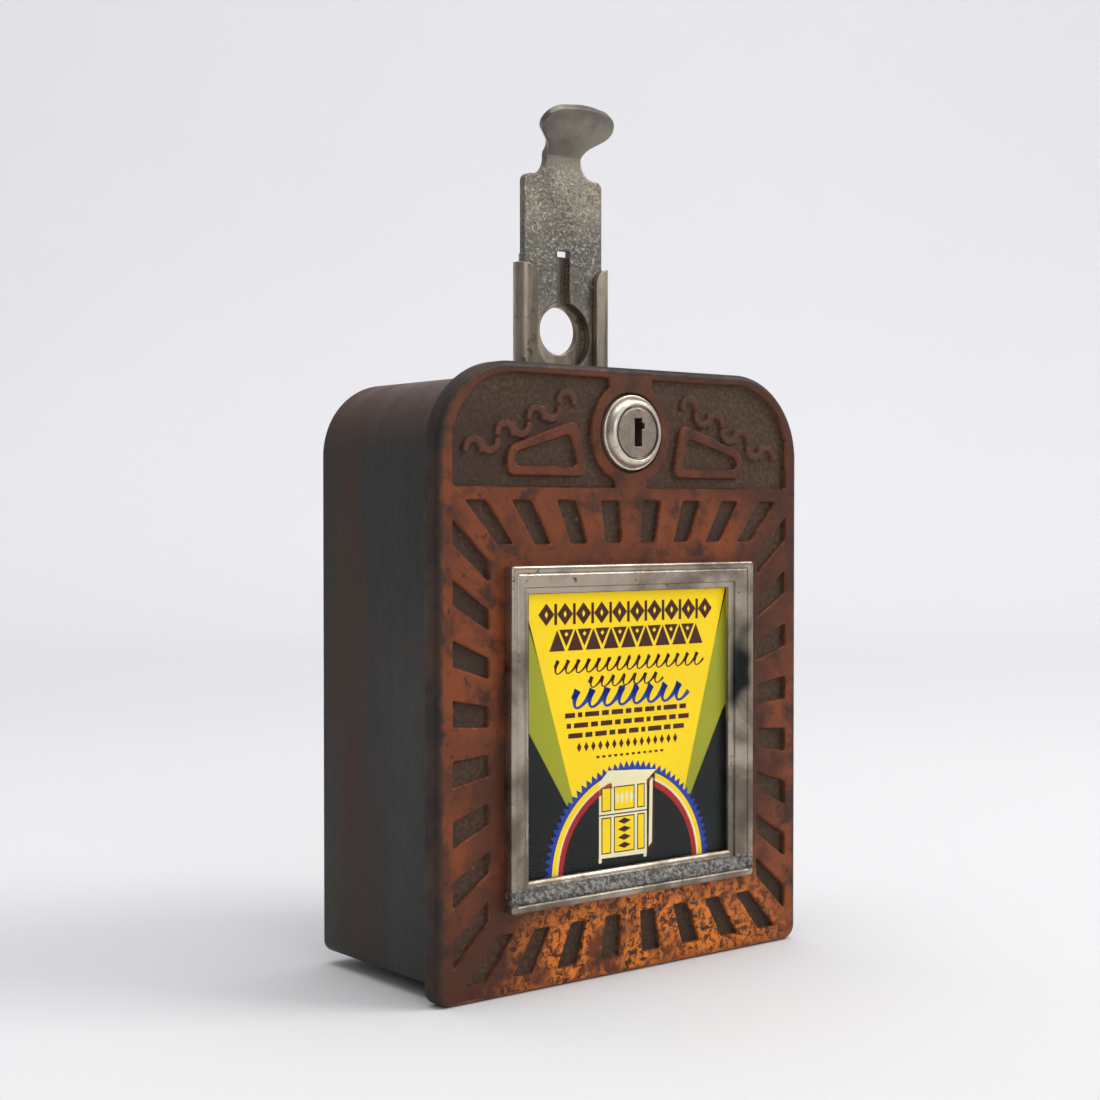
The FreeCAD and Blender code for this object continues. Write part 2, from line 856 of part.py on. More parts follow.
def bezel_frame():
    """A pressed frame: bead, slope, step and lip, with a skirt through the cover."""
    proud = size("bezel_proud")

    def step(name, near_inset, near_depth, far_inset, far_depth):
        near = (bezel_half_x - near_inset, bezel_half_z - near_inset, at(near_depth))
        far = (bezel_half_x - far_inset, bezel_half_z - far_inset, at(far_depth))
        return frustum("bezel_" + name, picture_z, near, far)

    frame = size("bezel_frame")
    bead_round = size("bead_round")
    slope_from = size("slope_from")
    slope_to = size("slope_to")
    overlap = 0.05
    side = step("side", 0, bead_round - proud, 0, 0)
    bead = step("bead", bead_round, -proud, 0, bead_round - proud)
    slope = step("slope", slope_from, -proud - overlap, slope_to, -size("slope_proud"))
    ledge_proud = size("ledge_proud")
    ledge = step("ledge", slope_to, -size("slope_proud") - overlap, slope_to, -ledge_proud)
    lip = step("lip", size("lip_from"), -ledge_proud - overlap, frame - 2 * overlap, -size("lip_proud"))
    hole = step("hole", frame, -proud, frame, PAST)
    skirt_end = face_rear
    sleeve = frustum("bezel_sleeve", picture_z, (skirt_x, skirt_z, front), (skirt_x, skirt_z, skirt_end))
    sleeve_x = skirt_x - size("skirt_wall")
    sleeve_z = skirt_z - size("skirt_wall")
    bore = frustum("bezel_bore", picture_z, (sleeve_x, sleeve_z, front), (sleeve_x, sleeve_z, skirt_end))
    tabs = []
    reach = bezel_half_z - size("skirt_wall") / 2
    half_tab = size("tab_width") / 2
    for number, (side_sign, level) in enumerate(FOUR):
        middle = side_sign * (opening_x / 2)
        low = -reach if level < 0 else sleeve_z
        high = -sleeve_z if level < 0 else reach
        tabs.append(box(f"bezel_tab_{number}", (middle - half_tab, middle + half_tab),
                        (skirt_end, skirt_end + size("skirt_wall")),
                        (picture_z + low, picture_z + high)))
    solid = fuse("BezelSolid", side, bead, sleeve, *tabs)
    node(cut("BezelFrame", solid, slope, ledge, lip, hole, bore), "bezel_frame")


def picture_stack():
    glass_back = at(size("glass_thickness"))
    card_back = glass_back + size("card_thickness")
    layers = [
        ("glass_pane", front, glass_back),
        ("sign_card", glass_back, card_back),
        ("backing_board", card_back, face_rear),
    ]
    span_z = (picture_z - pane_z, picture_z + pane_z)
    for label, near, far in layers:
        node(box(label.title().replace("_", ""), (-pane_x, pane_x), (near, far), span_z), label)


def retainer_strips():
    """Two upright strips across the back of the picture, and the four screws that hold them."""
    strip_back = face_rear + size("strip_thickness")
    half_strip = size("strip_width") / 2
    reach = strip_screw_z + size("strip_beyond_screw")
    for side, label in ((-1, "left"), (1, "right")):
        middle = side * (opening_x + 0.5)
        flat = box(f"strip_{label}", (middle - half_strip, middle + half_strip), (face_rear, strip_back),
                   (picture_z - reach, picture_z + reach))
        holes = [
            cylinder(f"strip_{label}_hole_{level + 1}", "Y",
                     (side * strip_screw_x, picture_z + level * strip_screw_z),
                     SCREW_RADIUS, (face_rear - PAST, strip_back + PAST))
            for level in PAIR
        ]
        node(cut(f"RetainerStrip{label.title()}", flat, *holes), f"retainer_strip_{label}")
    shank = size("strip_thickness") + COVER_SCREW_DEPTH
    screws = [
        cheese_head(f"strip_screw_{n}", "Y", place, strip_back, SCREW_HEAD, (SCREW_RADIUS, shank))
        for n, place in enumerate(strip_screw_places())
    ]
    node(group("RetainerScrews", screws), "retainer_screws")


# ---------------------------------------------------------------- lock

keeper_y = at(size("barrel_end") + size("keeper_gap"))
cam_front = keeper_y + size("keeper_thickness") + size("cam_gap")
cam_back = cam_front + size("cam_thickness")


def lock_housing():
    centre = (as_size(0), lock_z)
    seat = at(size("relief_depth"))
    nose = at(-size("lock_proud"))
    flange = cylinder("ring_flange", "Y", centre, size("ring_radius"), (front, seat))
    dome = cone("ring_dome", "Y", centre, (size("ring_front_radius"), size("ring_radius")), (nose, front))
    barrel = cylinder("barrel", "Y", centre, size("barrel_radius"), (seat, at(size("barrel_end"))))
    bore_radius = size("plug_radius") + size("running_gap")
    bore = cylinder("plug_bore", "Y", centre, bore_radius, (nose - PAST, at(size("barrel_end") + PAST)))
    recess_end = nose + size("plug_recess_depth")
    recess = cylinder("plug_recess", "Y", centre, size("plug_recess_radius"), (nose - PAST, recess_end))
    node(cut("LockHousing", fuse("HousingSolid", flange, dome, barrel), bore, recess), "lock_housing")
    nut_back = face_rear + size("nut_depth")
    nut_radius = size("barrel_radius") + size("nut_flange")
    nut = hexagon("nut_blank", "Y", centre, nut_radius, (face_rear, nut_back))
    hole = cylinder("nut_hole", "Y", centre, size("barrel_radius"), (face_rear - PAST, nut_back + PAST))
    node(cut("LockNut", nut, hole), "lock_nut")


def lock_plug():
    """The turning plug: a barrel with a keyway, and a tail with a thread for the cam's screw."""
    centre = (as_size(0), lock_z)
    nose = at(-size("lock_proud"))
    shoulder = at(size("barrel_end")) + size("cam_gap")
    radius = size("plug_radius")
    tail_radius = size("tail_radius")
    bevel = 0.4
    face = cone("plug_face", "Y", centre, (radius - bevel, radius), (nose, nose + bevel))
    core = cylinder("plug_core", "Y", centre, radius, (nose + bevel, shoulder))
    collar = cylinder("plug_collar", "Y", centre, 1.5 * tail_radius, (shoulder, cam_front))
    tail = cylinder("plug_tail", "Y", centre, tail_radius, (cam_front, cam_back))
    half = size("key_slot_width") / 2
    tall = size("key_slot_height") / 2
    key_y = (nose - PAST, nose + size("key_slot_depth"))
    slot = box("key_slot", (-half, half), key_y, (lock_z - tall, lock_z + tall))
    notch = box("key_notch", (0, 1.7 * half), key_y, (lock_z + tall / 4, lock_z + tall * 2 / 3))
    thread = cylinder("plug_thread", "Y", centre, SCREW_RADIUS, (cam_back - CAM_SCREW_GRIP, cam_back + PAST))
    solid = fuse("PlugSolid", face, core, collar, tail)
    node(cut("LockPlug", solid, slot, notch, thread), "lock_plug")


def lock_cam():
    """The cam on the plug's tail, with its washer and screw."""
    centre = (as_size(0), lock_z)
    tail_radius = size("tail_radius")
    half = size("cam_width") / 2
    short = tail_radius + half / 2.5
    body = new_body("LockCam")
    cam = Outline(body, "XZ", cam_front)
    cam.loop([
        (-size("cam_length"), lock_z - half, half / 2),
        (short, lock_z - half, half * 3 / 4),
        (short, lock_z + half, half * 3 / 4),
        (-size("cam_length"), lock_z + half, half / 2),
    ])
    cam.circle(0, lock_z, tail_radius)
    pad(body, cam, size("cam_thickness"))
    node(body, "lock_cam")
    washer_back = cam_back + size("washer_sheet")
    disc = cylinder("washer_disc", "Y", centre, 1.4 * tail_radius, (cam_back, washer_back))
    hole = cylinder("washer_hole", "Y", centre, SCREW_RADIUS, (cam_back - PAST, washer_back + PAST))
    node(cut("CamWasher", disc, hole), "cam_washer")
    grip = size("washer_sheet") + CAM_SCREW_GRIP
    node(cheese_head("CamScrew", "Y", centre, washer_back, SCREW_HEAD, (SCREW_RADIUS, grip)), "cam_screw")


def keeper_screw_places():
    return [(side * KEEPER_SCREW_X, keeper_y + KEEPER_SCREW_BACK) for side in PAIR]


def lock_keeper():
    """An angle under the case's top. The cam turns up behind its front leg."""
    half = size("keeper_width") / 2
    leg = box("keeper_leg", (-half, half), (keeper_y, keeper_y + size("keeper_thickness")),
              (ceiling - size("keeper_drop"), ceiling))
    sheet = ceiling - KEEPER_SHELF
    shelf = box("keeper_shelf", (-half, half), (keeper_y, keeper_y + size("keeper_reach")), (sheet, ceiling))
    holes = [
        cylinder(f"keeper_hole_{n}", "Z", place, SMALL_RADIUS, (sheet - PAST, ceiling + PAST))
        for n, place in enumerate(keeper_screw_places())
    ]
    node(cut("LockKeeper", fuse("KeeperSolid", leg, shelf), *holes), "lock_keeper")
    screws = [
        cheese_head(f"keeper_screw_{n}", "Z", place, sheet, backward(SMALL_HEAD),
                    (SMALL_RADIUS, KEEPER_SHELF + GUIDE_SCREW_GRIP))
        for n, place in enumerate(keeper_screw_places())
    ]
    node(group("KeeperScrews", screws), "keeper_screws")


# ---------------------------------------------------------------- case

def case_knuckles(body):
    """Knuckles above and below each one of the cover's, cast on the right side."""
    length = size("knuckle_length")
    away = length / 2 + size("knuckle_end_gap")
    for level in hinge_levels:
        for low in (level - away - length, level + away):
            foot_y = (hinge_y - knuckle_radius, hinge_y + knuckle_radius)
            knuckle(body, low, length, (case_half - size("knuckle_root"), hinge_x), foot_y)
    foot = hinge_levels[0] - away - length
    reach = hinge_levels[1] + away + length - foot
    bore = Outline(body, "XY", foot).circle(hinge_x, hinge_y, size("hinge_pin_radius"))
    pocket(body, bore, reach)


def mount_places():
    x = size("mount_spacing_x") / 2
    high = height - size("mount_below_top")
    low = high - size("mount_spacing_z")
    return [(-x, low), (x, low), (-x, high), (x, high)]


def case_holes(body):
    play = size("slot_play")
    slot = Outline(body, "XY", ceiling - PAST)
    slot.rectangle((-guide_outer - play, guide_outer + play), (lip_front - play, guide_back + play))
    pocket(body, slot, size("case_wall") + 2 * PAST)
    fixings = Outline(body, "XZ", back_inner - PAST)
    for x, z in mount_places():
        fixings.circle(x, z, size("mount_hole_radius"))
    fixings.circle(-size("cable_x"), size("cable_height"), size("cable_bore_radius"))
    pocket(body, fixings, size("case_wall") + 2 * PAST)
    threads = Outline(body, "XZ", back_inner)
    for z in switch_screw_levels():
        threads.circle(0, z, SMALL_RADIUS)
    pocket(body, threads, SWITCH_SCREW_GRIP)
    keeper_threads = Outline(body, "XY", ceiling)
    for x, y in keeper_screw_places():
        keeper_threads.circle(x, y, SMALL_RADIUS)
    pocket(body, keeper_threads, GUIDE_SCREW_GRIP)


def rear_case():
    body = new_body("RearCase")
    blank = Outline(body, "XZ", case_front)
    top_radius = size("cover_top_radius") - inset
    round_topped(blank, case_half, inset, case_top, size("case_bottom_radius"), top_radius)
    pad(body, blank, case_back - case_front)
    round_edges(body, size("case_edge_round"), lambda edge: lies_in_plane(edge, case_back))
    wall = size("case_wall")
    hollow = Outline(body, "XZ", case_front)
    round_topped(hollow, inner_half, floor_top, ceiling, wall / 2, top_radius - wall)
    pocket(body, hollow, back_inner - case_front)
    case_knuckles(body)
    case_holes(body)
    node(body, "rear_case")


def hinge_pins():
    reach = 1.5 * size("knuckle_length") + size("knuckle_end_gap")
    centre = (hinge_x, hinge_y)
    pins = [
        cylinder(f"hinge_pin_{n}", "Z", centre, size("hinge_pin_radius"), (level - reach, level + reach))
        for n, level in enumerate(hinge_levels)
    ]
    node(group("HingePins", pins), "hinge_pins")


# ---------------------------------------------------------------- guide and slide

RIVET_RADIUS = 1.2
RIVET_HEAD = 0.5
rivet_x = guide_inner - RIVET_RADIUS
rivet_levels = (plate_top - 30, plate_bottom + 12)
stripper_top = ceiling - size("slot_play")
stripper_bottom = stripper_top - size("stripper_height")
stripper_screw_z = (stripper_top + stripper_bottom) / 2
window_z = (drop_z - size("window_half"), stripper_bottom + size("window_above_stripper"))
seat_screw_z = guide_bottom + 3.5


def rivet_places():
    return [(side * rivet_x, level) for level in rivet_levels for side in PAIR]


def guide_screws(label, name, face, level):
    """The two screws that hold a bridge to the guide's lips."""
    screws = [
        cheese_head(f"{label}_{n}", "Y", (side * GUIDE_SCREW_X, level), face, backward(SMALL_HEAD),
                    (SMALL_RADIUS, lip_front - face + GUIDE_SCREW_GRIP))
        for n, side in enumerate(PAIR)
    ]
    node(group(name, screws), label)


def guide_screw_holes(label, face, level):
    return [
        cylinder(f"{label}_hole_{n}", "Y", (side * GUIDE_SCREW_X, level), SMALL_RADIUS,
                 (face - PAST, lip_front + PAST))
        for n, side in enumerate(PAIR)
    ]


def slide_guide():
    """A channel with lips. The slide runs between its back and the lips."""
    body = new_body("SlideGuide")
    bend = size("guide_bend_radius")
    profile = Outline(body, "XY", guide_bottom)
    profile.loop([
        (-guide_outer, guide_back, bend),
        (guide_outer, guide_back, bend),
        (guide_outer, lip_front, bend),
        (lip_inner, lip_front),
        (lip_inner, lip_back),
        (guide_inner, lip_back),
        (guide_inner, guide_back_front),
        (-guide_inner, guide_back_front),
        (-guide_inner, lip_back),
        (-lip_inner, lip_back),
        (-lip_inner, lip_front),
        (-guide_outer, lip_front, bend),
    ])
    pad(body, profile, guide_top - guide_bottom)
    beyond = guide_outer + PAST
    corner = size("lip_corner_radius")
    trim = Outline(body, "XZ", lip_front - PAST)
    trim.loop([
        (-beyond, lip_top),
        (-lip_inner, lip_top, corner),
        (-lip_inner, lip_top - 2 * corner),
        (lip_inner, lip_top - 2 * corner),
        (lip_inner, lip_top, corner),
        (beyond, lip_top),
        (beyond, guide_top + PAST),
        (-beyond, guide_top + PAST),
    ])
    pocket(body, trim, guide_back_front - lip_front + PAST)
    shoulders = Outline(body, "XZ", guide_back_front - PAST)
    tongue = slide_half - size("guide_back_shoulder")
    shoulders.rectangle((-beyond, -tongue), (lip_top, guide_top + PAST))
    shoulders.rectangle((tongue, beyond), (lip_top, guide_top + PAST))
    pocket(body, shoulders, size("guide_sheet") + 2 * PAST)
    back = Outline(body, "XZ", guide_back_front)
    back.circle(0, coin_z + size("sight_hole_above_coin"), size("sight_hole_radius"))
    half_window = size("window_half")
    back.rectangle((-half_window, half_window), window_z)
    for x, z in rivet_places():
        back.circle(x, z, RIVET_RADIUS)
    pocket(body, back, size("guide_sheet") + PAST)
    threads = Outline(body, "XZ", lip_front)
    for side in PAIR:
        for level in (stripper_screw_z, seat_screw_z):
            threads.circle(side * GUIDE_SCREW_X, level, SMALL_RADIUS)
    pocket(body, threads, GUIDE_SCREW_GRIP + size("guide_face_gap") / 2)
    node(body, "slide_guide")


def slide_blank():
    body = new_body("SlideBlank")
    shoulder = coin_z + size("shoulder_above_hole")
    bend_line = shoulder + size("neck_height")
    neck = size("neck_half_width")
    plate = Outline(body, "XZ", slide_y)
    plate.loop([
        (-slide_half, slide_bottom),
        (slide_half, slide_bottom),
        (slide_half, shoulder, size("shoulder_radius")),
        (neck, shoulder, size("neck_radius")),
        (neck, bend_line),
        (-neck, bend_line),
        (-neck, shoulder, size("neck_radius")),
        (-slide_half, shoulder, size("shoulder_radius")),
    ])
    pad(body, plate, size("slide_thickness"))
    hole = Outline(body, "XZ", slide_y).circle(0, coin_z, size("coin_hole_radius"))
    pocket(body, hole, size("slide_thickness"))
    half_slot = size("slot_width") / 2
    slot = Outline(body, "XZ", slide_y)
    slot.rectangle((-half_slot, half_slot),
                   (coin_z - size("slot_below_hole"), coin_z + size("slot_above_hole")))
    pocket(body, slot, size("slide_thickness"))
    return body, bend_line


def thumb_tab(bend_line):
    """The broad round end, cut flat and then turned forward about the bend line."""
    body = new_body("ThumbTab")
    neck = size("neck_half_width")
    wide = size("tab_half_width")
    length = size("tab_length")
    crown = length + 0.4
    corner_z = length - 1.4
    flank_z = length / 2
    foot_z = flank_z / 3
    blank = Outline(body, "XZ", 0)
    blank.loop([
        (-neck, 0),
        (neck, 0),
        (neck, foot_z, 4.6),
        (wide, flank_z, 4.0),
        (wide, corner_z, 5.2),
        (0, crown, 24.0),
        (-wide, corner_z, 5.2),
        (-wide, flank_z, 4.0),
        (-neck, foot_z, 4.6),
    ])
    pad(body, blank, size("slide_thickness"))
    body.Placement = Placement(Vector(), Rotation(Vector(1, 0, 0), SIZES["tab_tilt"]))
    bind(body, "Placement.Rotation.Angle", size("tab_tilt"))
    put(body, 0, slide_y, bend_line)
    bend = DOC.addObject("Part::Cylinder", "TabBend")
    bend.Placement = Placement(Vector(), Rotation(Vector(1, 1, 1), 120))
    bind(bend, "Radius", size("slide_thickness"))
    bind(bend, "Height", 2 * neck)
    bind(bend, "Angle", size("tab_tilt"))
    put(bend, -neck, slide_y, bend_line)
    return body, bend


def coin_slide():
    blank, bend_line = slide_blank()
    tab, bend = thumb_tab(bend_line)
    half = size("lug_half_width")
    lug = box("SlideLug", (-half, half), (rod_y - LUG_PAST_ROD, slide_y), (slide_bottom, lug_top))
    bore_radius = size("rod_radius") + size("running_gap")
    bore = cylinder("LugBore", "Z", (as_size(0), rod_y), bore_radius, (slide_bottom - PAST, lug_top + PAST))
    node(cut("CoinSlide", fuse("SlideSolid", blank, bend, tab, lug), bore), "coin_slide")


def stripper():
    """A blade on a bridge across the lips pushes the coin out through the window."""
    bridge_front = lip_front - size("seat_sheet")
    bridge = box("stripper_bridge", (-guide_outer, guide_outer), (bridge_front, lip_front),
                 (stripper_bottom, stripper_top))
    holes = guide_screw_holes("stripper", bridge_front, stripper_screw_z)
    half = size("stripper_blade_half")
    body = new_body("StripperBlade")
    ramp = Outline(body, "YZ", -half)
    ramp.loop([
        (lip_front, stripper_bottom),
        (guide_back, stripper_bottom),
        (guide_back, stripper_bottom + half),
        (lip_front, stripper_top),
    ])
    pad(body, ramp, 2 * half)
    node(fuse("StripperPiece", cut("StripperBridge", bridge, *holes), body), "coin_stripper")
    guide_screws("stripper_screws", "StripperScrews", bridge_front, stripper_screw_z)


def rod_seat():
    """The seat on the guide's foot, and the rod, bumper and nut that guide the slide."""
    centre = (as_size(0), rod_y)
    rod_radius = size("rod_radius")
    shelf_bottom = seat_z - size("seat_shelf_thickness")
    seat_front = lip_front - size("seat_sheet")
    wall_top = 2 * seat_screw_z - guide_bottom
    wall = box("seat_wall", (-guide_outer, guide_outer), (seat_front, lip_front), (shelf_bottom, wall_top))
    half = size("lug_half_width") + PAST
    shelf = box("seat_shelf", (-half, half), (rod_y - LUG_PAST_ROD, seat_front), (shelf_bottom, seat_z))
    hole = cylinder("seat_hole", "Z", centre, rod_radius, (shelf_bottom - PAST, seat_z + PAST))
    holes = guide_screw_holes("seat", seat_front, seat_screw_z)
    node(cut("RodSeat", fuse("SeatSolid", wall, shelf), hole, *holes), "rod_seat")
    guide_screws("seat_screws", "SeatScrews", seat_front, seat_screw_z)
    rod = cylinder("rod_shaft", "Z", centre, rod_radius, (shelf_bottom, lug_top + size("rod_top_above_lug")))
    rod_head = cylinder("rod_foot", "Z", centre, rod_radius + 1, (shelf_bottom - rod_radius, shelf_bottom))
    node(fuse("SpringRod", rod, rod_head), "spring_rod")
    bumper_low = lug_top + size("guide_face_gap")
    bumper_high = bumper_low + BUMPER_THICKNESS
    disc = cylinder("bumper_disc", "Z", centre, BUMPER_RADIUS, (bumper_low, bumper_high))
    eye = cylinder("bumper_eye", "Z", centre, rod_radius, (bumper_low - PAST, bumper_high + PAST))
    node(cut("RodBumper", disc, eye), "rod_bumper")
    nut_top = bumper_high + NUT_HEIGHT
    nut = hexagon("rod_nut_blank", "Z", centre, NUT_RADIUS, (bumper_high, nut_top))
    nut_eye = cylinder("rod_nut_eye", "Z", centre, rod_radius, (bumper_high - PAST, nut_top + PAST))
    node(cut("RodNut", nut, nut_eye), "rod_nut")


def return_spring():
    """A round wire swept along a helix between the seat and the slide's lug."""
    wire = size("spring_wire")
    coil_length = size("spring_length") - 2 * wire
    helix = DOC.addObject("Part::Helix", "SpringLine")
    bind(helix, "Radius", size("spring_radius"))
    bind(helix, "Height", coil_length)
    bind(helix, "Pitch", coil_length / size("spring_turns"))
    put(helix, 0, rod_y, seat_z + wire)
    section = DOC.addObject("Part::Circle", "SpringSection")
    bind(section, "Radius", wire)
    section.Placement = Placement(Vector(), Rotation(Vector(1, 0, 0), 90))
    put(section, size("spring_radius"), rod_y, seat_z + wire)
    spring = DOC.addObject("Part::Sweep", "ReturnSpring")
    spring.Sections = [section]
    spring.Spine = (helix, [])
    spring.Solid = True
    spring.Frenet = True
    node(spring, "return_spring")


# ---------------------------------------------------------------- plate, posts, chute, tray

post_levels = (plate_top - 11, plate_bottom + 10)
post_x = guide_outer + size("post_from_guide")


def post_places():
    return [(side * post_x, level) for level in post_levels for side in PAIR]


def mechanism_plate():
    body = new_body("MechanismPlate")
    flat = Outline(body, "XZ", guide_back)
    half = post_x + size("plate_beyond_post")
    flat.rectangle((-half, half), (plate_bottom, plate_top), size("post_radius"))
    half_window = size("window_half")
    flat.rectangle((-half_window, half_window), window_z)
    for x, z in rivet_places():
        flat.circle(x, z, RIVET_RADIUS)
    for x, z in post_places():
        flat.circle(x, z, SCREW_RADIUS)
    pad(body, flat, size("plate_sheet"))
    node(body, "mechanism_plate")
    rivets = []
    for n, place in enumerate(rivet_places()):
        shank = cylinder(f"rivet_shank_{n}", "Y", place, RIVET_RADIUS, (guide_back_front, plate_back))
        radii = (RIVET_RADIUS + RIVET_HEAD, RIVET_RADIUS)
        head = cone(f"rivet_head_{n}", "Y", place, radii, (plate_back, plate_back + 2 * RIVET_HEAD))
        rivets.append(fuse(f"rivet_{n}", shank, head))
    node(group("GuideRivets", rivets), "guide_rivets")


def plate_posts():
    """Four posts from the case's back, with a screw through the plate into each."""
    posts = []
    screws = []
    for n, place in enumerate(post_places()):
        rod = cylinder(f"post_rod_{n}", "Y", place, size("post_radius"), (plate_back, back_inner))
        thread = (plate_back - PAST, plate_back + POST_SCREW_GRIP)
        bore = cylinder(f"post_bore_{n}", "Y", place, SCREW_RADIUS, thread)
        posts.append(cut(f"post_{n}", rod, bore))
        screws.append(cheese_head(f"post_screw_{n}", "Y", place, guide_back, backward(SCREW_HEAD),
                                  (SCREW_RADIUS, size("plate_sheet") + POST_SCREW_GRIP)))
    node(group("PlatePosts", posts), "plate_posts")
    node(group("PlateScrews", screws), "plate_screws")


def coin_chute():
    """A shallow duct on the plate's back. The coin drops down it past the trip lever."""
    sheet = size("chute_sheet")
    inner = size("chute_half_width")
    outer = inner + sheet
    shell = box("chute_shell", (-outer, outer), (plate_back, chute_back), (chute_bottom, plate_top))
    hollow = box("chute_hollow", (-inner, inner), (plate_back - PAST, chute_back - sheet),
                 (chute_bottom - PAST, plate_top - sheet))
    slot = box("chute_slot", (-LEVER_SLOT, LEVER_SLOT), (plate_back, chute_back + PAST),
               (lever_z - LEVER_SLOT_REACH, lever_z + LEVER_SLOT_REACH))
    node(cut("CoinChute", shell, hollow, slot), "coin_chute")


def cash_tray():
    wall = size("tray_sheet")
    half = inner_half - size("tray_side_gap")
    corner = size("tray_corner_radius")
    tray_front = at(size("tray_setback"))
    tray_back = back_inner - size("tray_back_gap")
    tray_top = guide_bottom - size("tray_clearance")
    body = new_body("CashTray")
    blank = Outline(body, "XY", floor_top)
    blank.rectangle((-half, half), (tray_front, tray_back), corner)
    pad(body, blank, tray_top - floor_top)
    hollow = Outline(body, "XY", floor_top + wall)
    hollow.rectangle((wall - half, half - wall), (tray_front + wall, tray_back - wall), corner - wall)
    pocket(body, hollow, tray_top - floor_top - wall)
    node(body, "cash_tray")


# ---------------------------------------------------------------- trip lever and switch

EAR_NEAR = 3.0
EAR_FAR = 4.0
EAR_SHEET = 1.0
EAR_HALF_HEIGHT = 5.0
EAR_BEYOND_PIN = 3.0
HUB_RADIUS = 2.6
BAR_HALF_WIDTH = 1.5
STACK_DEPTH = 4.0
STACK_SCREW_X = 2.0
STACK_SCREW_RADIUS = 0.8
STACK_SCREW_HEAD = (1.5, 0.9)
SWITCH_HALF_WIDTH = 5.0
SWITCH_FOOT = 15.0
SWITCH_SCREW_GRIP = 1.6
BUTTON_RADIUS = 1.0
BUTTON_HEIGHT = 0.6
CHANNEL_HALF_WIDTH = 2.6
CHANNEL_DEPTH = 2.0
TERMINAL_SCREW_GRIP = 4.0
TERMINALS = 3

leg_front = lever_y + 6.2
stack_front = lever_y + 6.7
stack_back = stack_front + STACK_DEPTH
stack_middle = stack_front + STACK_DEPTH / 2
blade_tip = lever_y + 3.6
lower_blade_z = lever_z + 2.9
leg_top = lower_blade_z - size("insulator")
leg_bottom = leg_top - size("switch_sheet")
upper_blade_z = lower_blade_z + size("blade_sheet") + size("insulator")
stack_top = upper_blade_z + size("blade_sheet") + 1.5


def switch_screw_levels():
    return [leg_bottom - SWITCH_FOOT / 4, leg_bottom - SWITCH_FOOT * 3 / 4]


def lever_bracket():
    """A plate on the chute with two ears, and the pin through them."""
    reach = LEVER_SLOT_REACH
    web = box("bracket_web", (-EAR_FAR, EAR_FAR), (chute_back, chute_back + EAR_SHEET),
              (lever_z - reach - EAR_HALF_HEIGHT, lever_z + reach + EAR_HALF_HEIGHT))
    gap = box("bracket_gap", (-LEVER_SLOT, LEVER_SLOT), (chute_back - PAST, chute_back + EAR_SHEET + PAST),
              (lever_z - reach, lever_z + reach))
    ears = []
    for n, side in enumerate(PAIR):
        low, high = sorted((side * EAR_NEAR, side * EAR_FAR))
        ears.append(box(f"bracket_ear_{n}", (low, high), (chute_back, lever_y + EAR_BEYOND_PIN),
                        (lever_z - EAR_HALF_HEIGHT, lever_z + EAR_HALF_HEIGHT)))
    centre = (lever_y, lever_z)
    ends = (-EAR_FAR - PAST, EAR_FAR + PAST)
    bore = cylinder("bracket_bore", "X", centre, size("lever_pin_radius"), ends)
    node(cut("LeverBracket", fuse("BracketSolid", web, *ears), gap, bore), "lever_bracket")
    node(cylinder("LeverPin", "X", centre, size("lever_pin_radius"), ends), "lever_pin")


def trip_lever():
    half = size("lever_half_thickness")
    bar = box("lever_bar", (-BAR_HALF_WIDTH, BAR_HALF_WIDTH),
              (lever_y - size("lever_reach"), lever_y + size("lever_tail")), (lever_z - half, lever_z + half))
    hub_half = EAR_NEAR - 0.6
    hub = cylinder("lever_hub", "X", (lever_y, lever_z), HUB_RADIUS, (-hub_half, hub_half))
    bore_radius = size("lever_pin_radius") + size("running_gap")
    bore = cylinder("lever_bore", "X", (lever_y, lever_z), bore_radius, (-EAR_FAR, EAR_FAR))
    node(cut("TripLever", fuse("LeverSolid", bar, hub), bore), "trip_lever")


def stack_piece(name, half, span_y, span_z):
    """A piece of the contact stack, with the holes for its two screws."""
    flat = box(name + "_flat", (-half, half), span_y, span_z)
    holes = [
        cylinder(f"{name}_hole_{n}", "Z", (as_size(side * STACK_SCREW_X), stack_middle), STACK_SCREW_RADIUS,
                 (span_z[0] - PAST, span_z[1] + PAST))
        for n, side in enumerate(PAIR)
    ]
    return cut(name, flat, *holes)


def switch_bracket():
    """An angle on the case's back that carries the contact stack."""
    half = SWITCH_HALF_WIDTH
    foot_front = back_inner - size("switch_sheet")
    leg = stack_piece("SwitchLeg", half, (leg_front, back_inner), (leg_bottom, leg_top))
    foot = box("switch_foot", (-half, half), (foot_front, back_inner), (leg_bottom - SWITCH_FOOT, leg_bottom))
    places = [(as_size(0), z) for z in switch_screw_levels()]
    holes = [
        cylinder(f"switch_hole_{n}", "Y", place, SMALL_RADIUS, (foot_front - PAST, back_inner + PAST))
        for n, place in enumerate(places)
    ]
    node(cut("SwitchBracket", fuse("SwitchSolid", leg, foot), *holes), "switch_bracket")
    grip = size("switch_sheet") + SWITCH_SCREW_GRIP
    screws = [
        cheese_head(f"switch_screw_{n}", "Y", place, foot_front, backward(SMALL_HEAD), (SMALL_RADIUS, grip))
        for n, place in enumerate(places)
    ]
    node(group("SwitchScrews", screws), "switch_screws")


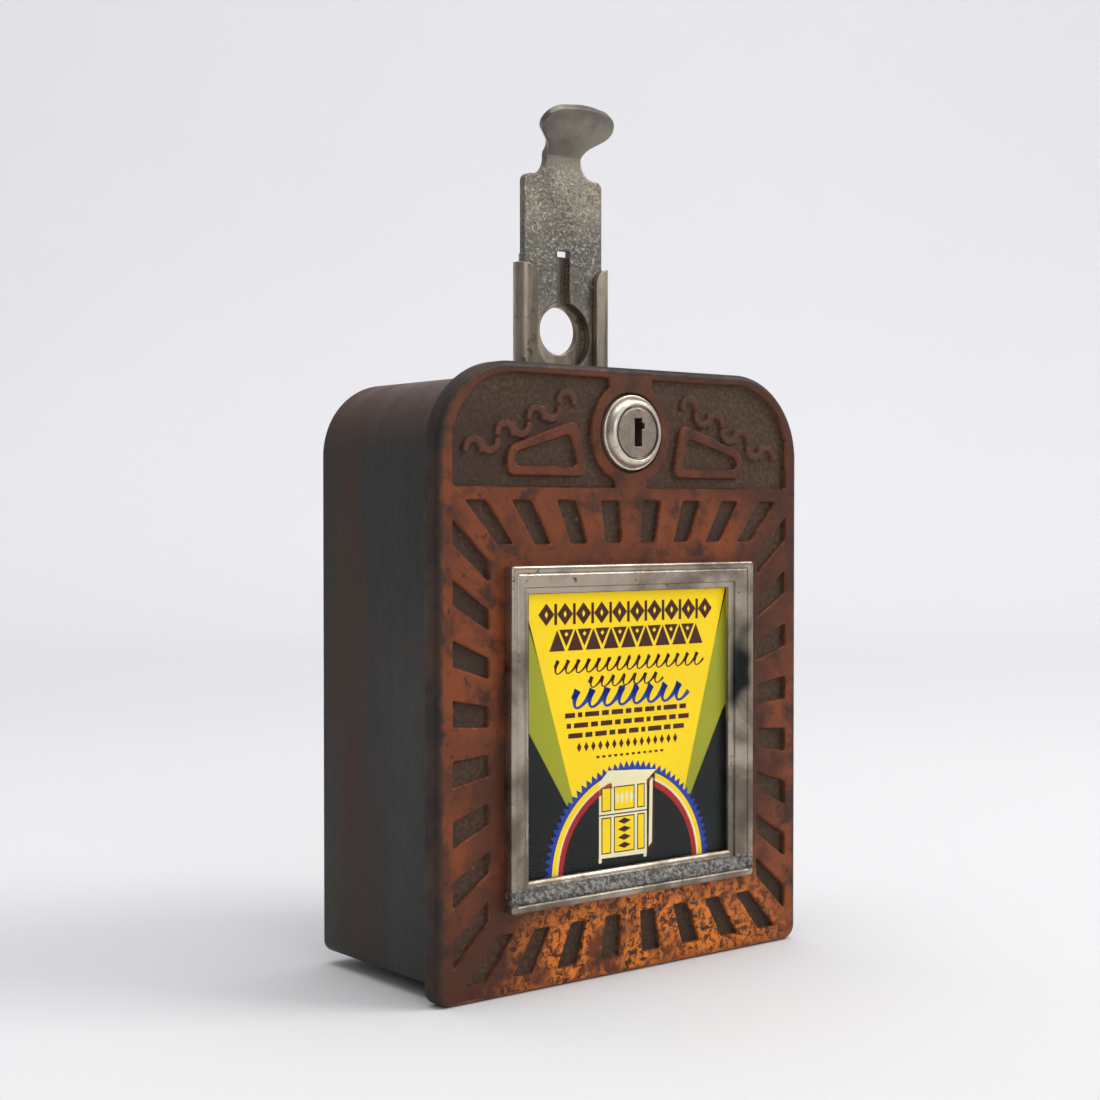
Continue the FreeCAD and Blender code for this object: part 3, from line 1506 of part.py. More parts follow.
def contact_stack():
    """Two spring blades between insulators, with a contact button on each."""
    blade = size("blade_sheet")
    lower_top = lower_blade_z + blade
    upper_top = upper_blade_z + blade
    half = SWITCH_HALF_WIDTH - 1
    layers = {
        "insulator_low": (leg_top, lower_blade_z),
        "insulator_middle": (lower_top, upper_blade_z),
        "insulator_top": (upper_top, stack_top),
    }
    insulators = [stack_piece(name, half, (stack_front, stack_back), layer) for name, layer in layers.items()]
    node(group("BladeInsulators", insulators), "blade_insulators")
    span = (blade_tip, stack_back)
    for label, layer in (("lower", (lower_blade_z, lower_top)), ("upper", (upper_blade_z, upper_top))):
        node(stack_piece("ContactBlade" + label.title(), half - 1, span, layer), "contact_blade_" + label)
    spot = (as_size(0), blade_tip + 1.2 * BUTTON_RADIUS)
    buttons = [
        cylinder("button_low", "Z", spot, BUTTON_RADIUS, (lower_top, lower_top + BUTTON_HEIGHT)),
        cylinder("button_high", "Z", spot, BUTTON_RADIUS, (upper_blade_z - BUTTON_HEIGHT, upper_blade_z)),
    ]
    node(group("ContactButtons", buttons), "contact_buttons")
    screws = [
        cheese_head(f"stack_screw_{n}", "Z", (as_size(side * STACK_SCREW_X), stack_middle), stack_top,
                    STACK_SCREW_HEAD, (STACK_SCREW_RADIUS, stack_top - leg_bottom))
        for n, side in enumerate(PAIR)
    ]
    node(group("StackScrews", screws), "stack_screws")


def terminal_block():
    """A moulded block with three screws, for the wires to the machine that the box feeds."""
    low_x = post_x + size("post_radius") + size("terminal_from_post")
    high_x = low_x + size("terminal_width")
    foot = lever_z - 20
    top = foot + size("terminal_height")
    block_front = back_inner - size("terminal_depth")
    floor = block_front + CHANNEL_DEPTH
    body = box("terminal_body", (low_x, high_x), (block_front, back_inner), (foot, top))
    cuts = []
    screws = []
    for n in range(TERMINALS):
        x = low_x + (2 * n + 1) * size("terminal_width") / (2 * TERMINALS)
        place = (x, (foot + top) / 2)
        cuts.append(box(f"terminal_channel_{n}", (x - CHANNEL_HALF_WIDTH, x + CHANNEL_HALF_WIDTH),
                        (block_front - PAST, floor), (foot - PAST, top + PAST)))
        cuts.append(cylinder(f"terminal_bore_{n}", "Y", place, SMALL_RADIUS,
                             (block_front, floor + TERMINAL_SCREW_GRIP)))
        screws.append(cheese_head(f"terminal_screw_{n}", "Y", place, floor, backward(SMALL_HEAD),
                                  (SMALL_RADIUS, TERMINAL_SCREW_GRIP)))
    node(cut("TerminalBlock", body, *cuts), "terminal_block")
    node(group("TerminalScrews", screws), "terminal_screws")


def cable_bush():
    centre = (-size("cable_x"), size("cable_height"))
    bore_radius = size("cable_bore_radius")
    flange_front = back_inner - 1.5
    neck = cylinder("bush_neck", "Y", centre, bore_radius, (back_inner, case_back))
    flange = cylinder("bush_flange", "Y", centre, bore_radius + 2, (flange_front, back_inner))
    through = (flange_front - PAST, case_back + PAST)
    hole = cylinder("bush_hole", "Y", centre, size("cable_hole_radius"), through)
    node(cut("CableBush", fuse("BushSolid", neck, flange), hole), "cable_bush")


# ---------------------------------------------------------------- build and write

def build():
    rear_case()
    front_cover()
    bezel_frame()
    picture_stack()
    retainer_strips()
    lock_housing()
    lock_plug()
    lock_cam()
    lock_keeper()
    hinge_pins()
    slide_guide()
    coin_slide()
    stripper()
    rod_seat()
    return_spring()
    mechanism_plate()
    plate_posts()
    coin_chute()
    cash_tray()
    lever_bracket()
    trip_lever()
    switch_bracket()
    contact_stack()
    terminal_block()
    cable_bush()
    DOC.recompute()


def check():
    for item in DOC.Objects:
        if "Invalid" in item.State or "Error" in item.State:
            raise RuntimeError(f"{item.Name} failed: {item.State}")
    for item in NODES:
        if item.Shape.isNull() or not item.Shape.isValid() or not item.Shape.Solids:
            raise RuntimeError(f"{item.Label} has no valid solid")


def write():
    os.makedirs("parts", exist_ok=True)
    for item in NODES:
        item.Shape.exportStep(f"parts/{item.Label}.step")
        print(item.Label, len(item.Shape.Solids), round(item.Shape.Volume, 1))


build()
check()
write()
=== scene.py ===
import json
import math

import bmesh
import bpy
import numpy as np
from mathutils import Euler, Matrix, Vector


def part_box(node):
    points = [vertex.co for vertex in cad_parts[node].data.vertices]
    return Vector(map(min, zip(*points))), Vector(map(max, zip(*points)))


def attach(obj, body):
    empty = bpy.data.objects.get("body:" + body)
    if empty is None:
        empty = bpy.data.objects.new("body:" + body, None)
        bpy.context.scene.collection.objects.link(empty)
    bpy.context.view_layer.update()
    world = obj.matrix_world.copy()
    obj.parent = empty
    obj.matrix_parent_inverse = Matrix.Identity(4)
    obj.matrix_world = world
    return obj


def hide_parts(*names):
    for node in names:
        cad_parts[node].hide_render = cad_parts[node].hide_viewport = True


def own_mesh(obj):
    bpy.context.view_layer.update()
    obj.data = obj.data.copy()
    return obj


# The looks of the coin box. Outlines and the card are in millimetres of the part's frame, with z up from
# the cover's foot and depths measured back from the cover's face.

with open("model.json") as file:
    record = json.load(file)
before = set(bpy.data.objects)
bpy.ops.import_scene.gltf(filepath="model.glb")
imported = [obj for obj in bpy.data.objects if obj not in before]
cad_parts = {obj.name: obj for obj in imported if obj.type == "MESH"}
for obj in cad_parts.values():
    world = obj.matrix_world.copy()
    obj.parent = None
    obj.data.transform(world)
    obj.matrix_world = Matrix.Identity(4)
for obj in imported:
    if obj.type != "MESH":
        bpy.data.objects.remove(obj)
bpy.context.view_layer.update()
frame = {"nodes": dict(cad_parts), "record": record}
nodes = frame["nodes"]
MM = 0.001

cover_low, cover_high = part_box("front_cover")
FRONT = cover_low.y
COVER_HALF = -cover_low.x / MM
COVER_HEIGHT = (cover_high.z - cover_low.z) / MM


# ---------------------------------------------------------------- meshes

def new_object(name, points, faces, body, slot, sharp=30.0, materials=None):
    """A piece from points in millimetres, in its slot's finish or in materials of its own."""
    mesh = bpy.data.meshes.new(name)
    mesh.from_pydata((np.asarray(points, float) * MM).tolist(), [], faces)
    mesh.validate()
    mesh.shade_smooth()
    if sharp is not None:
        mesh.set_sharp_from_angle(angle=math.radians(sharp))
    item = bpy.data.objects.new(name, mesh)
    bpy.context.scene.collection.objects.link(item)
    for material in materials or [finishes[slot]]:
        mesh.materials.append(material)
    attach(item, body)
    return item


def cad_part(node, keep):
    """Points in millimetres and faces of a CAD node, for the faces that pass the test."""
    bm = bmesh.new()
    bm.from_mesh(nodes[node].data)
    bmesh.ops.remove_doubles(bm, verts=bm.verts, dist=1e-6)
    doomed = [f for f in bm.faces if not keep(np.array([v.co for v in f.verts]) / MM)]
    bmesh.ops.delete(bm, geom=doomed, context="FACES")
    bm.verts.index_update()
    points = [tuple(v.co / MM) for v in bm.verts]
    faces = [[v.index for v in f.verts] for f in bm.faces]
    bm.free()
    return points, faces


def joined(*pieces):
    """Several (points, faces) as one."""
    points, faces = [], []
    for more_points, more_faces in pieces:
        start = len(points)
        points.extend(tuple(p) for p in more_points)
        faces.extend([index + start for index in face] for face in more_faces)
    return points, faces


def strip_faces(rows, columns, closed=False, flip=False):
    """Quads between rows of points; closed joins the last column to the first."""
    faces = []
    span = columns if closed else columns - 1
    for r in range(rows - 1):
        for c in range(span):
            after = (c + 1) % columns
            here, above = r * columns, (r + 1) * columns
            quad = [here + c, here + after, above + after, above + c]
            faces.append(quad[::-1] if flip else quad)
    return faces


def closed_strip(loops, flip=False):
    """The skin over closed loops that have the same number of points."""
    points = [place for loop in loops for place in loop]
    return points, strip_faces(len(loops), len(loops[0]), closed=True, flip=flip)


def depth_y(depth):
    """The y in millimetres of a depth behind the cover's face."""
    return FRONT / MM + depth


# ---------------------------------------------------------------- front cover's relief

# The cover's sizes, in millimetres. RIM_DEPTH and PLATE_BACK are depths behind its face.
TOP_RADIUS = 22.0
FOOT_RADIUS = 4.0
EDGE_ROUND = 1.6
RIM_DEPTH = 5.9
RIM_WALL = 2.6
PLATE_BACK = 3.2
RELIEF = 1.4
SCROLL_RELIEF = 0.9
PANEL_BOTTOM = 122.6
PANEL_TOP = 150.4
PANEL_HALF = 55.4
PANEL_RADIUS = 18.0
PICTURE_Z = 62.0
PICTURE_HOLE = (37.6, 39.0)
LOCK_Z = COVER_HEIGHT - 16.3
LOCK_HOLE = 8.1
LOCK_RECESS = 10.1
BOSS_RADIUS = 13.0
NECK_HALF = 7.0
STEM_HALF = 5.0

# More than any distance on the cover.
FAR_AWAY = 99.0


def soft_max(*values, blend=0.8):
    """The largest of several distances, with the corner between them rounded."""
    total = values[0]
    for value in values[1:]:
        h = np.clip(0.5 + 0.5 * (value - total) / blend, 0, 1)
        total = total * (1 - h) + value * h + blend * h * (1 - h)
    return total


def convex(x, z, corners, blend=0.8):
    """Distance to a convex outline, negative inside, with soft corners."""
    corners = np.asarray(corners, float)
    middle = corners.mean(axis=0)
    sides = []
    for a, b in zip(corners, np.roll(corners, -1, axis=0)):
        normal = np.array([b[1] - a[1], a[0] - b[0]])
        normal /= np.linalg.norm(normal)
        if (middle - a) @ normal > 0:
            normal = -normal
        sides.append((x - a[0]) * normal[0] + (z - a[1]) * normal[1])
    return soft_max(*sides, blend=blend)


def round_box(x, z, half, low, high, top_radius, foot_radius):
    """Distance to the box's outline, negative inside."""
    middle, tall = (low + high) / 2, (high - low) / 2
    radius = np.where(z > middle, top_radius, foot_radius)
    qx = np.abs(x) - half + radius
    qz = np.abs(z - middle) - tall + radius
    outside = np.hypot(np.maximum(qx, 0), np.maximum(qz, 0))
    return outside + np.minimum(np.maximum(qx, qz), 0) - radius


def inside(distance, near=0.14, far=0.5):
    """1 inside an outline and 0 outside, with the soft edge of a casting."""
    t = np.clip((near - distance) / (near + far), 0, 1)
    return t * t * (3 - 2 * t)


def frame_corners(side, outer_edge):
    """The raised frame beside the lock: low towards the side and tall towards the middle."""
    base = PANEL_BOTTOM + 2.8
    outer = [(14.2, base), (17.2, base + 14.4), (39.4, base + 7.0), (39.4, base)]
    inner = [(17.45, base + 2.6), (19.67, base + 10.5), (36.8, base + 5.57), (36.8, base + 2.6)]
    return [(side * u, v) for u, v in (outer if outer_edge else inner)]


def scroll_distance(x, z, side):
    """Half rings in a wave that climbs towards the lock."""
    radius, line, start, half_rings = 2.35, 2.0, COVER_HALF - 8.6, 7
    rise = math.tan(math.radians(23.4))
    nearest = np.full_like(x, FAR_AWAY)
    for step in range(half_rings):
        reach = (2 * step + 1) * radius
        u = x - side * (start - reach)
        v = z - (PANEL_BOTTOM + 8.0 + rise * reach)
        if step % 2:
            v = -v
        ring = np.abs(np.hypot(u, v) - radius)
        ends = np.hypot(np.abs(u) - radius, v)
        nearest = np.minimum(nearest, np.where(v > 0, ring, ends) - line / 2)
    return nearest


def ray_distance(x, z):
    """Slots that widen outwards along lines from the middle of the picture."""
    nearest = np.full_like(x, FAR_AWAY)
    slots, half_slot = 8, 2.6
    rows = [(True, 44.6, PANEL_HALF / 44.6, 11.55), (False, 46.8, 57.6 / 46.8, 11.3)]
    for sideways, near, growth, pitch in rows:
        for sign in (-1, 1):
            for place in range(slots):
                middle = (place - (slots - 1) / 2) * pitch
                edges = (middle - half_slot, middle + half_slot)
                corners = [(e, near) for e in edges] + [(e * growth, near * growth) for e in edges[::-1]]
                if sideways:
                    corners = [(sign * out, PICTURE_Z + run) for run, out in corners]
                else:
                    corners = [(run, PICTURE_Z + sign * out) for run, out in corners]
                xs, zs = zip(*corners)
                box = (x > min(xs) - 1) & (x < max(xs) + 1) & (z > min(zs) - 1) & (z < max(zs) + 1)
                nearest[box] = np.minimum(nearest[box], convex(x[box], z[box], corners, 0.5))
    return nearest


def relief_depth(x, z):
    """How far the casting's pattern lies behind the cover's face."""
    panel = round_box(x, z, PANEL_HALF, PANEL_BOTTOM, PANEL_TOP, PANEL_RADIUS, 1.2)
    boss = np.hypot(x, z - LOCK_Z) - BOSS_RADIUS
    neck = np.maximum(np.abs(x) - NECK_HALF, LOCK_Z - z)
    stem = np.maximum(np.abs(x) - STEM_HALF, z - LOCK_Z)
    raised = np.minimum(boss, np.minimum(neck, stem))
    sunk = inside(np.maximum(panel, -raised)) * RELIEF
    for side in (-1, 1):
        ring = np.maximum(convex(x, z, frame_corners(side, True), 3.2),
                          -convex(x, z, frame_corners(side, False), 1.8))
        sunk -= inside(ring, 0.2, 0.35) * RELIEF
        sunk -= inside(scroll_distance(x, z, side), 0.25, 0.35) * SCROLL_RELIEF
    sunk = np.maximum(sunk, 0)
    sunk += inside(ray_distance(x, z)) * RELIEF
    sunk += inside(np.hypot(x, z - LOCK_Z) - LOCK_RECESS, 0.1, 0.1) * RELIEF
    return sunk


def edge_depth(x, z):
    """The rounding along the cover's front edge."""
    into = -round_box(x, z, COVER_HALF, 0, COVER_HEIGHT, TOP_RADIUS, FOOT_RADIUS)
    missing = np.clip(EDGE_ROUND - into, 0, EDGE_ROUND)
    return EDGE_ROUND - np.sqrt(EDGE_ROUND ** 2 - missing ** 2)


def cover_skin(step):
    """The face of the cover as a fine net that follows its outline."""
    foot_turn = np.linspace(0, math.pi / 2, 22)[:-1]
    top_turn = np.linspace(0, math.pi / 2, int(TOP_RADIUS * math.pi / 2 / step) + 1)
    straight = np.arange(FOOT_RADIUS, COVER_HEIGHT - TOP_RADIUS, step)
    rows = np.concatenate([FOOT_RADIUS * (1 - np.cos(foot_turn)), straight,
                           COVER_HEIGHT - TOP_RADIUS + TOP_RADIUS * np.sin(top_turn)])
    fall = np.maximum(FOOT_RADIUS - rows, 0)
    climb = np.maximum(rows - (COVER_HEIGHT - TOP_RADIUS), 0)
    half = COVER_HALF - (FOOT_RADIUS - np.sqrt(np.maximum(FOOT_RADIUS ** 2 - fall ** 2, 0)))
    half -= TOP_RADIUS - np.sqrt(np.maximum(TOP_RADIUS ** 2 - climb ** 2, 0))
    margin = EDGE_ROUND * (1 - np.cos(np.linspace(0, math.pi / 2, 11)))
    across = np.linspace(-1, 1, int(2 * COVER_HALF / step))[1:-1]
    x = np.array([np.concatenate([-w + margin, across * (w - EDGE_ROUND), w - margin[::-1]]) for w in half])
    z = np.repeat(rows[:, None], x.shape[1], axis=1)
    depth = relief_depth(x, z) + edge_depth(x, z)
    points = np.stack([x, depth_y(depth), z], axis=-1).reshape(-1, 3)
    faces = np.array(strip_faces(*x.shape))
    centre = points[faces].mean(axis=1)
    open_half_x, open_half_z = PICTURE_HOLE
    opening = (np.abs(centre[:, 0]) < open_half_x) & (np.abs(centre[:, 2] - PICTURE_Z) < open_half_z)
    opening |= np.hypot(centre[:, 0], centre[:, 2] - LOCK_Z) < LOCK_HOLE
    return points, faces[~opening].tolist()


def outline_loop(inset, depth, per_corner=28):
    """Points round the cover's outline, moved inwards by inset."""
    half, high = COVER_HALF - inset, COVER_HEIGHT - inset
    corners = [
        (half, high, TOP_RADIUS - inset, 0.0),
        (-half, high, TOP_RADIUS - inset, 90.0),
        (-half, inset, FOOT_RADIUS - inset, 180.0),
        (half, inset, FOOT_RADIUS - inset, 270.0),
    ]
    loop = []
    for x, z, radius, first in corners:
        for turn in np.radians(np.linspace(first, first + 90, per_corner)):
            towards = (-radius if x > 0 else radius, -radius if z > COVER_HEIGHT / 2 else radius)
            loop.append((x + towards[0] + radius * math.cos(turn), depth_y(depth),
                         z + towards[1] + radius * math.sin(turn)))
    return loop


def cover_rim():
    """The cover's side, its rounded back edge and the inner wall of its rim."""
    profile = [(0, EDGE_ROUND), (0, RIM_DEPTH - 0.5), (0.1, RIM_DEPTH - 0.2), (0.4, RIM_DEPTH),
               (RIM_WALL - 0.4, RIM_DEPTH), (RIM_WALL - 0.1, RIM_DEPTH - 0.2), (RIM_WALL, RIM_DEPTH - 0.5),
               (RIM_WALL, PLATE_BACK)]
    return closed_strip([outline_loop(inset, depth) for inset, depth in profile])


def cover_behind(corners):
    """Picks the CAD's hollow back, openings and hinge knuckles."""
    x, depth, z = corners[:, 0], corners[:, 1] - FRONT / MM, corners[:, 2]
    if depth.max() <= EDGE_ROUND + 0.02:
        return False
    into = -round_box(x, z, COVER_HALF, 0, COVER_HEIGHT, TOP_RADIUS, FOOT_RADIUS)
    on_rim = into.max() <= RIM_WALL + 0.06 and depth.max() <= RIM_DEPTH + 0.02
    return not on_rim or abs(depth - PLATE_BACK).max() < 0.02


# ---------------------------------------------------------------- materials

def linear(red, green, blue):
    """A colour given as 0 to 255 display values."""
    scaled = [((c / 255 + 0.055) / 1.055) ** 2.4 if c > 10 else c / 3295 for c in (red, green, blue)]
    return tuple(scaled) + (1.0,)


class Finish:
    """A node material with a few shorthands."""

    def __init__(self, name):
        self.material = bpy.data.materials.new(name)
        self.material.use_nodes = True
        self.tree = self.material.node_tree
        self.shader = self.tree.nodes["Principled BSDF"]
        self.place = self.add("ShaderNodeTexCoord").outputs["Object"]

    def add(self, kind):
        return self.tree.nodes.new(kind)

    def feed(self, value, socket):
        if isinstance(value, bpy.types.NodeSocket):
            self.tree.links.new(value, socket)
        else:
            socket.default_value = value

    def maths(self, operation, a, b=0.0):
        node = self.add("ShaderNodeMath")
        node.operation = operation
        self.feed(a, node.inputs[0])
        self.feed(b, node.inputs[1])
        return node.outputs[0]

    def times(self, a, b):
        return self.maths("MULTIPLY", a, b)

    def plus(self, a, b):
        return self.maths("ADD", a, b)

    def minus(self, a, b):
        return self.maths("SUBTRACT", a, b)

    def stretched(self, x, y, z):
        """The object's place scaled along each axis, so that noise runs in streaks."""
        node = self.add("ShaderNodeMapping")
        node.inputs["Scale"].default_value = (x, y, z)
        self.feed(self.place, node.inputs["Vector"])
        return node.outputs[0]

    def noise(self, scale, detail=4.0, rough=0.55, distortion=0.0, vector=None):
        node = self.add("ShaderNodeTexNoise")
        node.inputs["Scale"].default_value = scale
        node.inputs["Detail"].default_value = detail
        node.inputs["Roughness"].default_value = rough
        node.inputs["Distortion"].default_value = distortion
        self.feed(vector or self.place, node.inputs["Vector"])
        return node.outputs["Fac"]

    def between(self, value, low, high, first=0.0, last=1.0):
        """Maps low..high to first..last smoothly, and holds the ends."""
        node = self.add("ShaderNodeMapRange")
        node.interpolation_type = "SMOOTHSTEP"
        for name, number in (("From Min", low), ("From Max", high), ("To Min", first), ("To Max", last)):
            node.inputs[name].default_value = number
        self.feed(value, node.inputs["Value"])
        return node.outputs["Result"]

    def blend(self, amount, first, second):
        node = self.add("ShaderNodeMix")
        node.data_type = "RGBA"
        self.feed(amount, node.inputs["Factor"])
        self.feed(first, node.inputs["A"])
        self.feed(second, node.inputs["B"])
        return node.outputs["Result"]

    def axis(self, letter):
        node = self.add("ShaderNodeSeparateXYZ")
        self.feed(self.place, node.inputs[0])
        return node.outputs[letter]

    def zone(self, letter, low, high, first=0.0, last=1.0):
        """between() for a stretch of an axis, in millimetres."""
        return self.between(self.axis(letter), low * MM, high * MM, first, last)

    def rounded(self, radius):
        """A normal that rounds sharp edges, with the radius in metres."""
        node = self.add("ShaderNodeBevel")
        node.samples = 6
        node.inputs["Radius"].default_value = radius
        return node.outputs["Normal"]

    def bumps(self, *layers, normal=None):
        """Layers are (height, distance in metres)."""
        for height, distance in layers:
            node = self.add("ShaderNodeBump")
            node.inputs["Strength"].default_value = 1.0
            node.inputs["Distance"].default_value = distance
            self.feed(height, node.inputs["Height"])
            if normal is not None:
                self.feed(normal, node.inputs["Normal"])
            normal = node.outputs["Normal"]
        self.feed(normal, self.shader.inputs["Normal"])

    def set(self, **values):
        """Shader inputs by name, with an underscore for each space."""
        for name, value in values.items():
            self.feed(value, self.shader.inputs[name.replace("_", " ")])


def spot(finish, x, z, reach_x, reach_z):
    """1 at a place on the front and 0 beyond the reach, as an oval, all in millimetres."""
    across = finish.maths("DIVIDE", finish.minus(finish.axis("X"), x * MM), reach_x * MM)
    along = finish.maths("DIVIDE", finish.minus(finish.axis("Z"), z * MM), reach_z * MM)
    total = finish.plus(finish.times(across, across), finish.times(along, along))
    return finish.between(total, 0.1, 1.0, 1.0, 0.0)


def cast_cover():
    """Copper-brown enamel, worn bright at the edges and dark in the sunk parts."""
    f = Finish("cast_cover")
    depth = f.minus(f.axis("Y"), FRONT)
    broad = f.noise(30, 4, 0.55, 0.3)
    middle = f.noise(120, 5, 0.62, 0.4)
    fine = f.noise(900, 4, 0.65)
    paint = f.blend(f.between(broad, 0.38, 0.62), linear(76, 38, 20), linear(124, 60, 25))
    paint = f.blend(f.between(middle, 0.46, 0.68), paint, linear(60, 33, 21))
    paint = f.blend(f.between(f.noise(420, 6, 0.7), 0.56, 0.7), paint, linear(58, 32, 22))
    paint = f.blend(f.zone("Z", 108, 150, 0.0, 0.55), paint, linear(66, 40, 27))
    flecks = f.between(f.noise(480, 5, 0.75, 0.6), 0.42, 0.56)
    copper = f.blend(flecks, linear(64, 34, 16), linear(220, 122, 40))
    lively = f.between(f.noise(60, 4, 0.6), 0.34, 0.56)
    paint = f.blend(f.times(spot(f, 6, 6, 58, 26), lively), paint, copper)
    shoulder = f.times(f.between(depth, 0.00004, 0.00022), f.between(depth, 0.0003, 0.0008, 1.0, 0.0))
    chipped = f.times(shoulder, f.between(f.noise(150, 4, 0.7), 0.4, 0.62))
    paint = f.blend(f.times(chipped, 0.8), paint, linear(164, 82, 40))
    paint = f.blend(f.between(depth, 0.00034, 0.00048, 0.0, 0.8), paint, linear(74, 46, 32))
    grime = f.blend(f.between(fine, 0.36, 0.68), linear(56, 40, 28), linear(84, 61, 43))
    grime = f.blend(f.between(broad, 0.45, 0.66, 0.0, 0.6), grime, linear(50, 34, 25))
    grime = f.blend(f.between(f.noise(320, 5, 0.7), 0.62, 0.74, 0.0, 0.7), grime, linear(120, 95, 70))
    sunk = f.between(depth, 0.00055, 0.00115)
    colour = f.blend(sunk, paint, grime)
    corner_x, corner_z = (COVER_HALF - TOP_RADIUS) * MM, (COVER_HEIGHT - TOP_RADIUS) * MM
    past_x = f.maths("MAXIMUM", f.minus(f.maths("ABSOLUTE", f.axis("X")), corner_x), 0.0)
    past_z = f.maths("MAXIMUM", f.minus(f.axis("Z"), corner_z), 0.0)
    reach = f.maths("SQRT", f.plus(f.times(past_x, past_x), f.times(past_z, past_z)))
    border = f.plus(reach, f.times(f.minus(middle, 0.5), 0.004))
    dark = f.blend(f.between(f.noise(70, 4, 0.6), 0.4, 0.65), linear(42, 34, 28), linear(66, 42, 31))
    colour = f.blend(f.between(border, (TOP_RADIUS - 2.2) * MM, (TOP_RADIUS - 0.7) * MM), colour, dark)
    f.set(Base_Color=colour, Metallic=0.12, Specular_IOR_Level=0.32)
    rough = f.between(middle, 0.3, 0.7, 0.4, 0.58)
    f.set(Roughness=f.plus(rough, f.times(sunk, 0.16)))
    f.bumps((f.noise(70, 3, 0.5), 0.0004), (middle, 0.0003), (f.noise(420, 4, 0.65), 0.00012),
            (fine, 0.00005))
    return f.material


def case_iron():
    """Dark japanned casting with brown vertical patches."""
    f = Finish("case_iron")
    streak = f.noise(26, 4, 0.55, 0.3, f.stretched(1.0, 1.8, 0.16))
    cloud = f.noise(18, 4, 0.6)
    colour = f.blend(f.between(streak, 0.44, 0.62), linear(40, 39, 36), linear(62, 45, 35))
    colour = f.blend(f.between(cloud, 0.5, 0.72), colour, linear(50, 49, 43))
    colour = f.blend(f.between(f.noise(150, 5, 0.7), 0.6, 0.75), colour, linear(64, 38, 25))
    warm = f.zone("Z", 128, 150)
    colour = f.blend(f.times(warm, 0.7), colour, linear(88, 58, 40))
    green = f.times(f.zone("Z", 50, 20), f.zone("Y", 14, 28))
    colour = f.blend(f.times(green, 0.35), colour, linear(52, 62, 44))
    f.set(Base_Color=colour, Metallic=0.1, Specular_IOR_Level=0.32)
    f.set(Roughness=f.between(streak, 0.35, 0.65, 0.44, 0.62))
    f.bumps((f.noise(40, 3, 0.5), 0.0006), (f.noise(420, 5, 0.65), 0.00012), normal=f.rounded(0.0004))
    return f.material


def nickel(name, light, dark, pits):
    """Old nickel plate: warm grey, hazed and pitted."""
    f = Finish(name)
    haze = f.noise(55, 5, 0.6, 0.5)
    colour = f.blend(f.between(haze, 0.38, 0.66), light, dark)
    pitting = f.between(f.noise(700, 5, 0.7), 0.55, 0.66)
    colour = f.blend(f.times(pitting, pits), colour, linear(64, 58, 52))
    f.set(Base_Color=colour, Metallic=0.92)
    f.set(Roughness=f.between(haze, 0.3, 0.7, 0.26, 0.42))
    f.bumps((f.noise(700, 5, 0.7), 0.00006 * (0.4 + pits)), normal=f.rounded(0.0003))
    return f.material


def bezel_nickel():
    """The picture frame's plate, with its badly pitted lower rail."""
    f = Finish("bezel_nickel")
    haze = f.noise(48, 5, 0.6, 0.5)
    colour = f.blend(f.between(haze, 0.4, 0.66), linear(172, 160, 144), linear(112, 101, 89))
    low = f.zone("Z", PICTURE_Z - 35.6, PICTURE_Z - 36.6)
    bead = f.zone("Z", PICTURE_Z - 40.2, PICTURE_Z - 39.6)
    crust = f.noise(950, 5, 0.7, 0.5)
    spoiled = f.times(f.times(low, bead), f.between(f.noise(70, 4, 0.6), 0.3, 0.46))
    etched = f.blend(f.between(crust, 0.42, 0.6), linear(76, 77, 76), linear(150, 146, 138))
    colour = f.blend(spoiled, colour, etched)
    right = f.times(spot(f, 36.6, 68, 4.2, 40), f.between(f.noise(30, 3, 0.5), 0.4, 0.5))
    colour = f.blend(right, colour, linear(34, 36, 36))
    specks = f.between(f.noise(260, 5, 0.7), 0.62, 0.7)
    colour = f.blend(specks, colour, linear(84, 68, 54))
    f.set(Base_Color=colour, Metallic=0.92)
    f.set(Roughness=f.plus(f.between(haze, 0.3, 0.7, 0.2, 0.34), f.times(spoiled, 0.14)))
    height = f.times(crust, f.plus(f.times(spoiled, 0.9), 0.08))
    f.bumps((height, 0.0005), (f.noise(60, 3, 0.5), 0.0003))
    return f.material


def slide_steel():
    """Nickelled steel, finely pitted in its upper part and bluish where the plating has gone."""
    f = Finish("slide_steel")
    speckle = f.noise(1100, 4, 0.7, 0.3)
    cloud = f.noise(70, 4, 0.6)
    colour = f.blend(f.between(cloud, 0.4, 0.66), linear(140, 133, 121), linear(110, 104, 95))
    band = f.times(f.zone("Z", 166, 176), f.zone("Z", 198, 186))
    colour = f.blend(f.times(band, f.between(cloud, 0.3, 0.62, 0.8, 0.4)), colour, linear(82, 84, 84))
    plate = f.times(f.zone("Z", 150, 186, 0.25, 1.0), f.zone("Z", 210.5, 204.5))
    rusty = f.times(plate, f.between(speckle, 0.5, 0.6))
    colour = f.blend(f.times(rusty, 0.5), colour, linear(58, 54, 48))
    crumbs = f.times(plate, f.between(f.noise(1300, 4, 0.72, 0.4), 0.52, 0.62))
    colour = f.blend(f.times(crumbs, 0.65), colour, linear(190, 180, 158))
    f.set(Base_Color=colour, Metallic=0.85)
    f.set(Roughness=f.between(speckle, 0.36, 0.66, 0.28, 0.42))
    height = f.times(speckle, f.plus(f.times(plate, 0.9), 0.1))
    f.bumps((height, 0.0002), (f.noise(50, 3, 0.5), 0.0002), normal=f.rounded(0.0006))
    return f.material


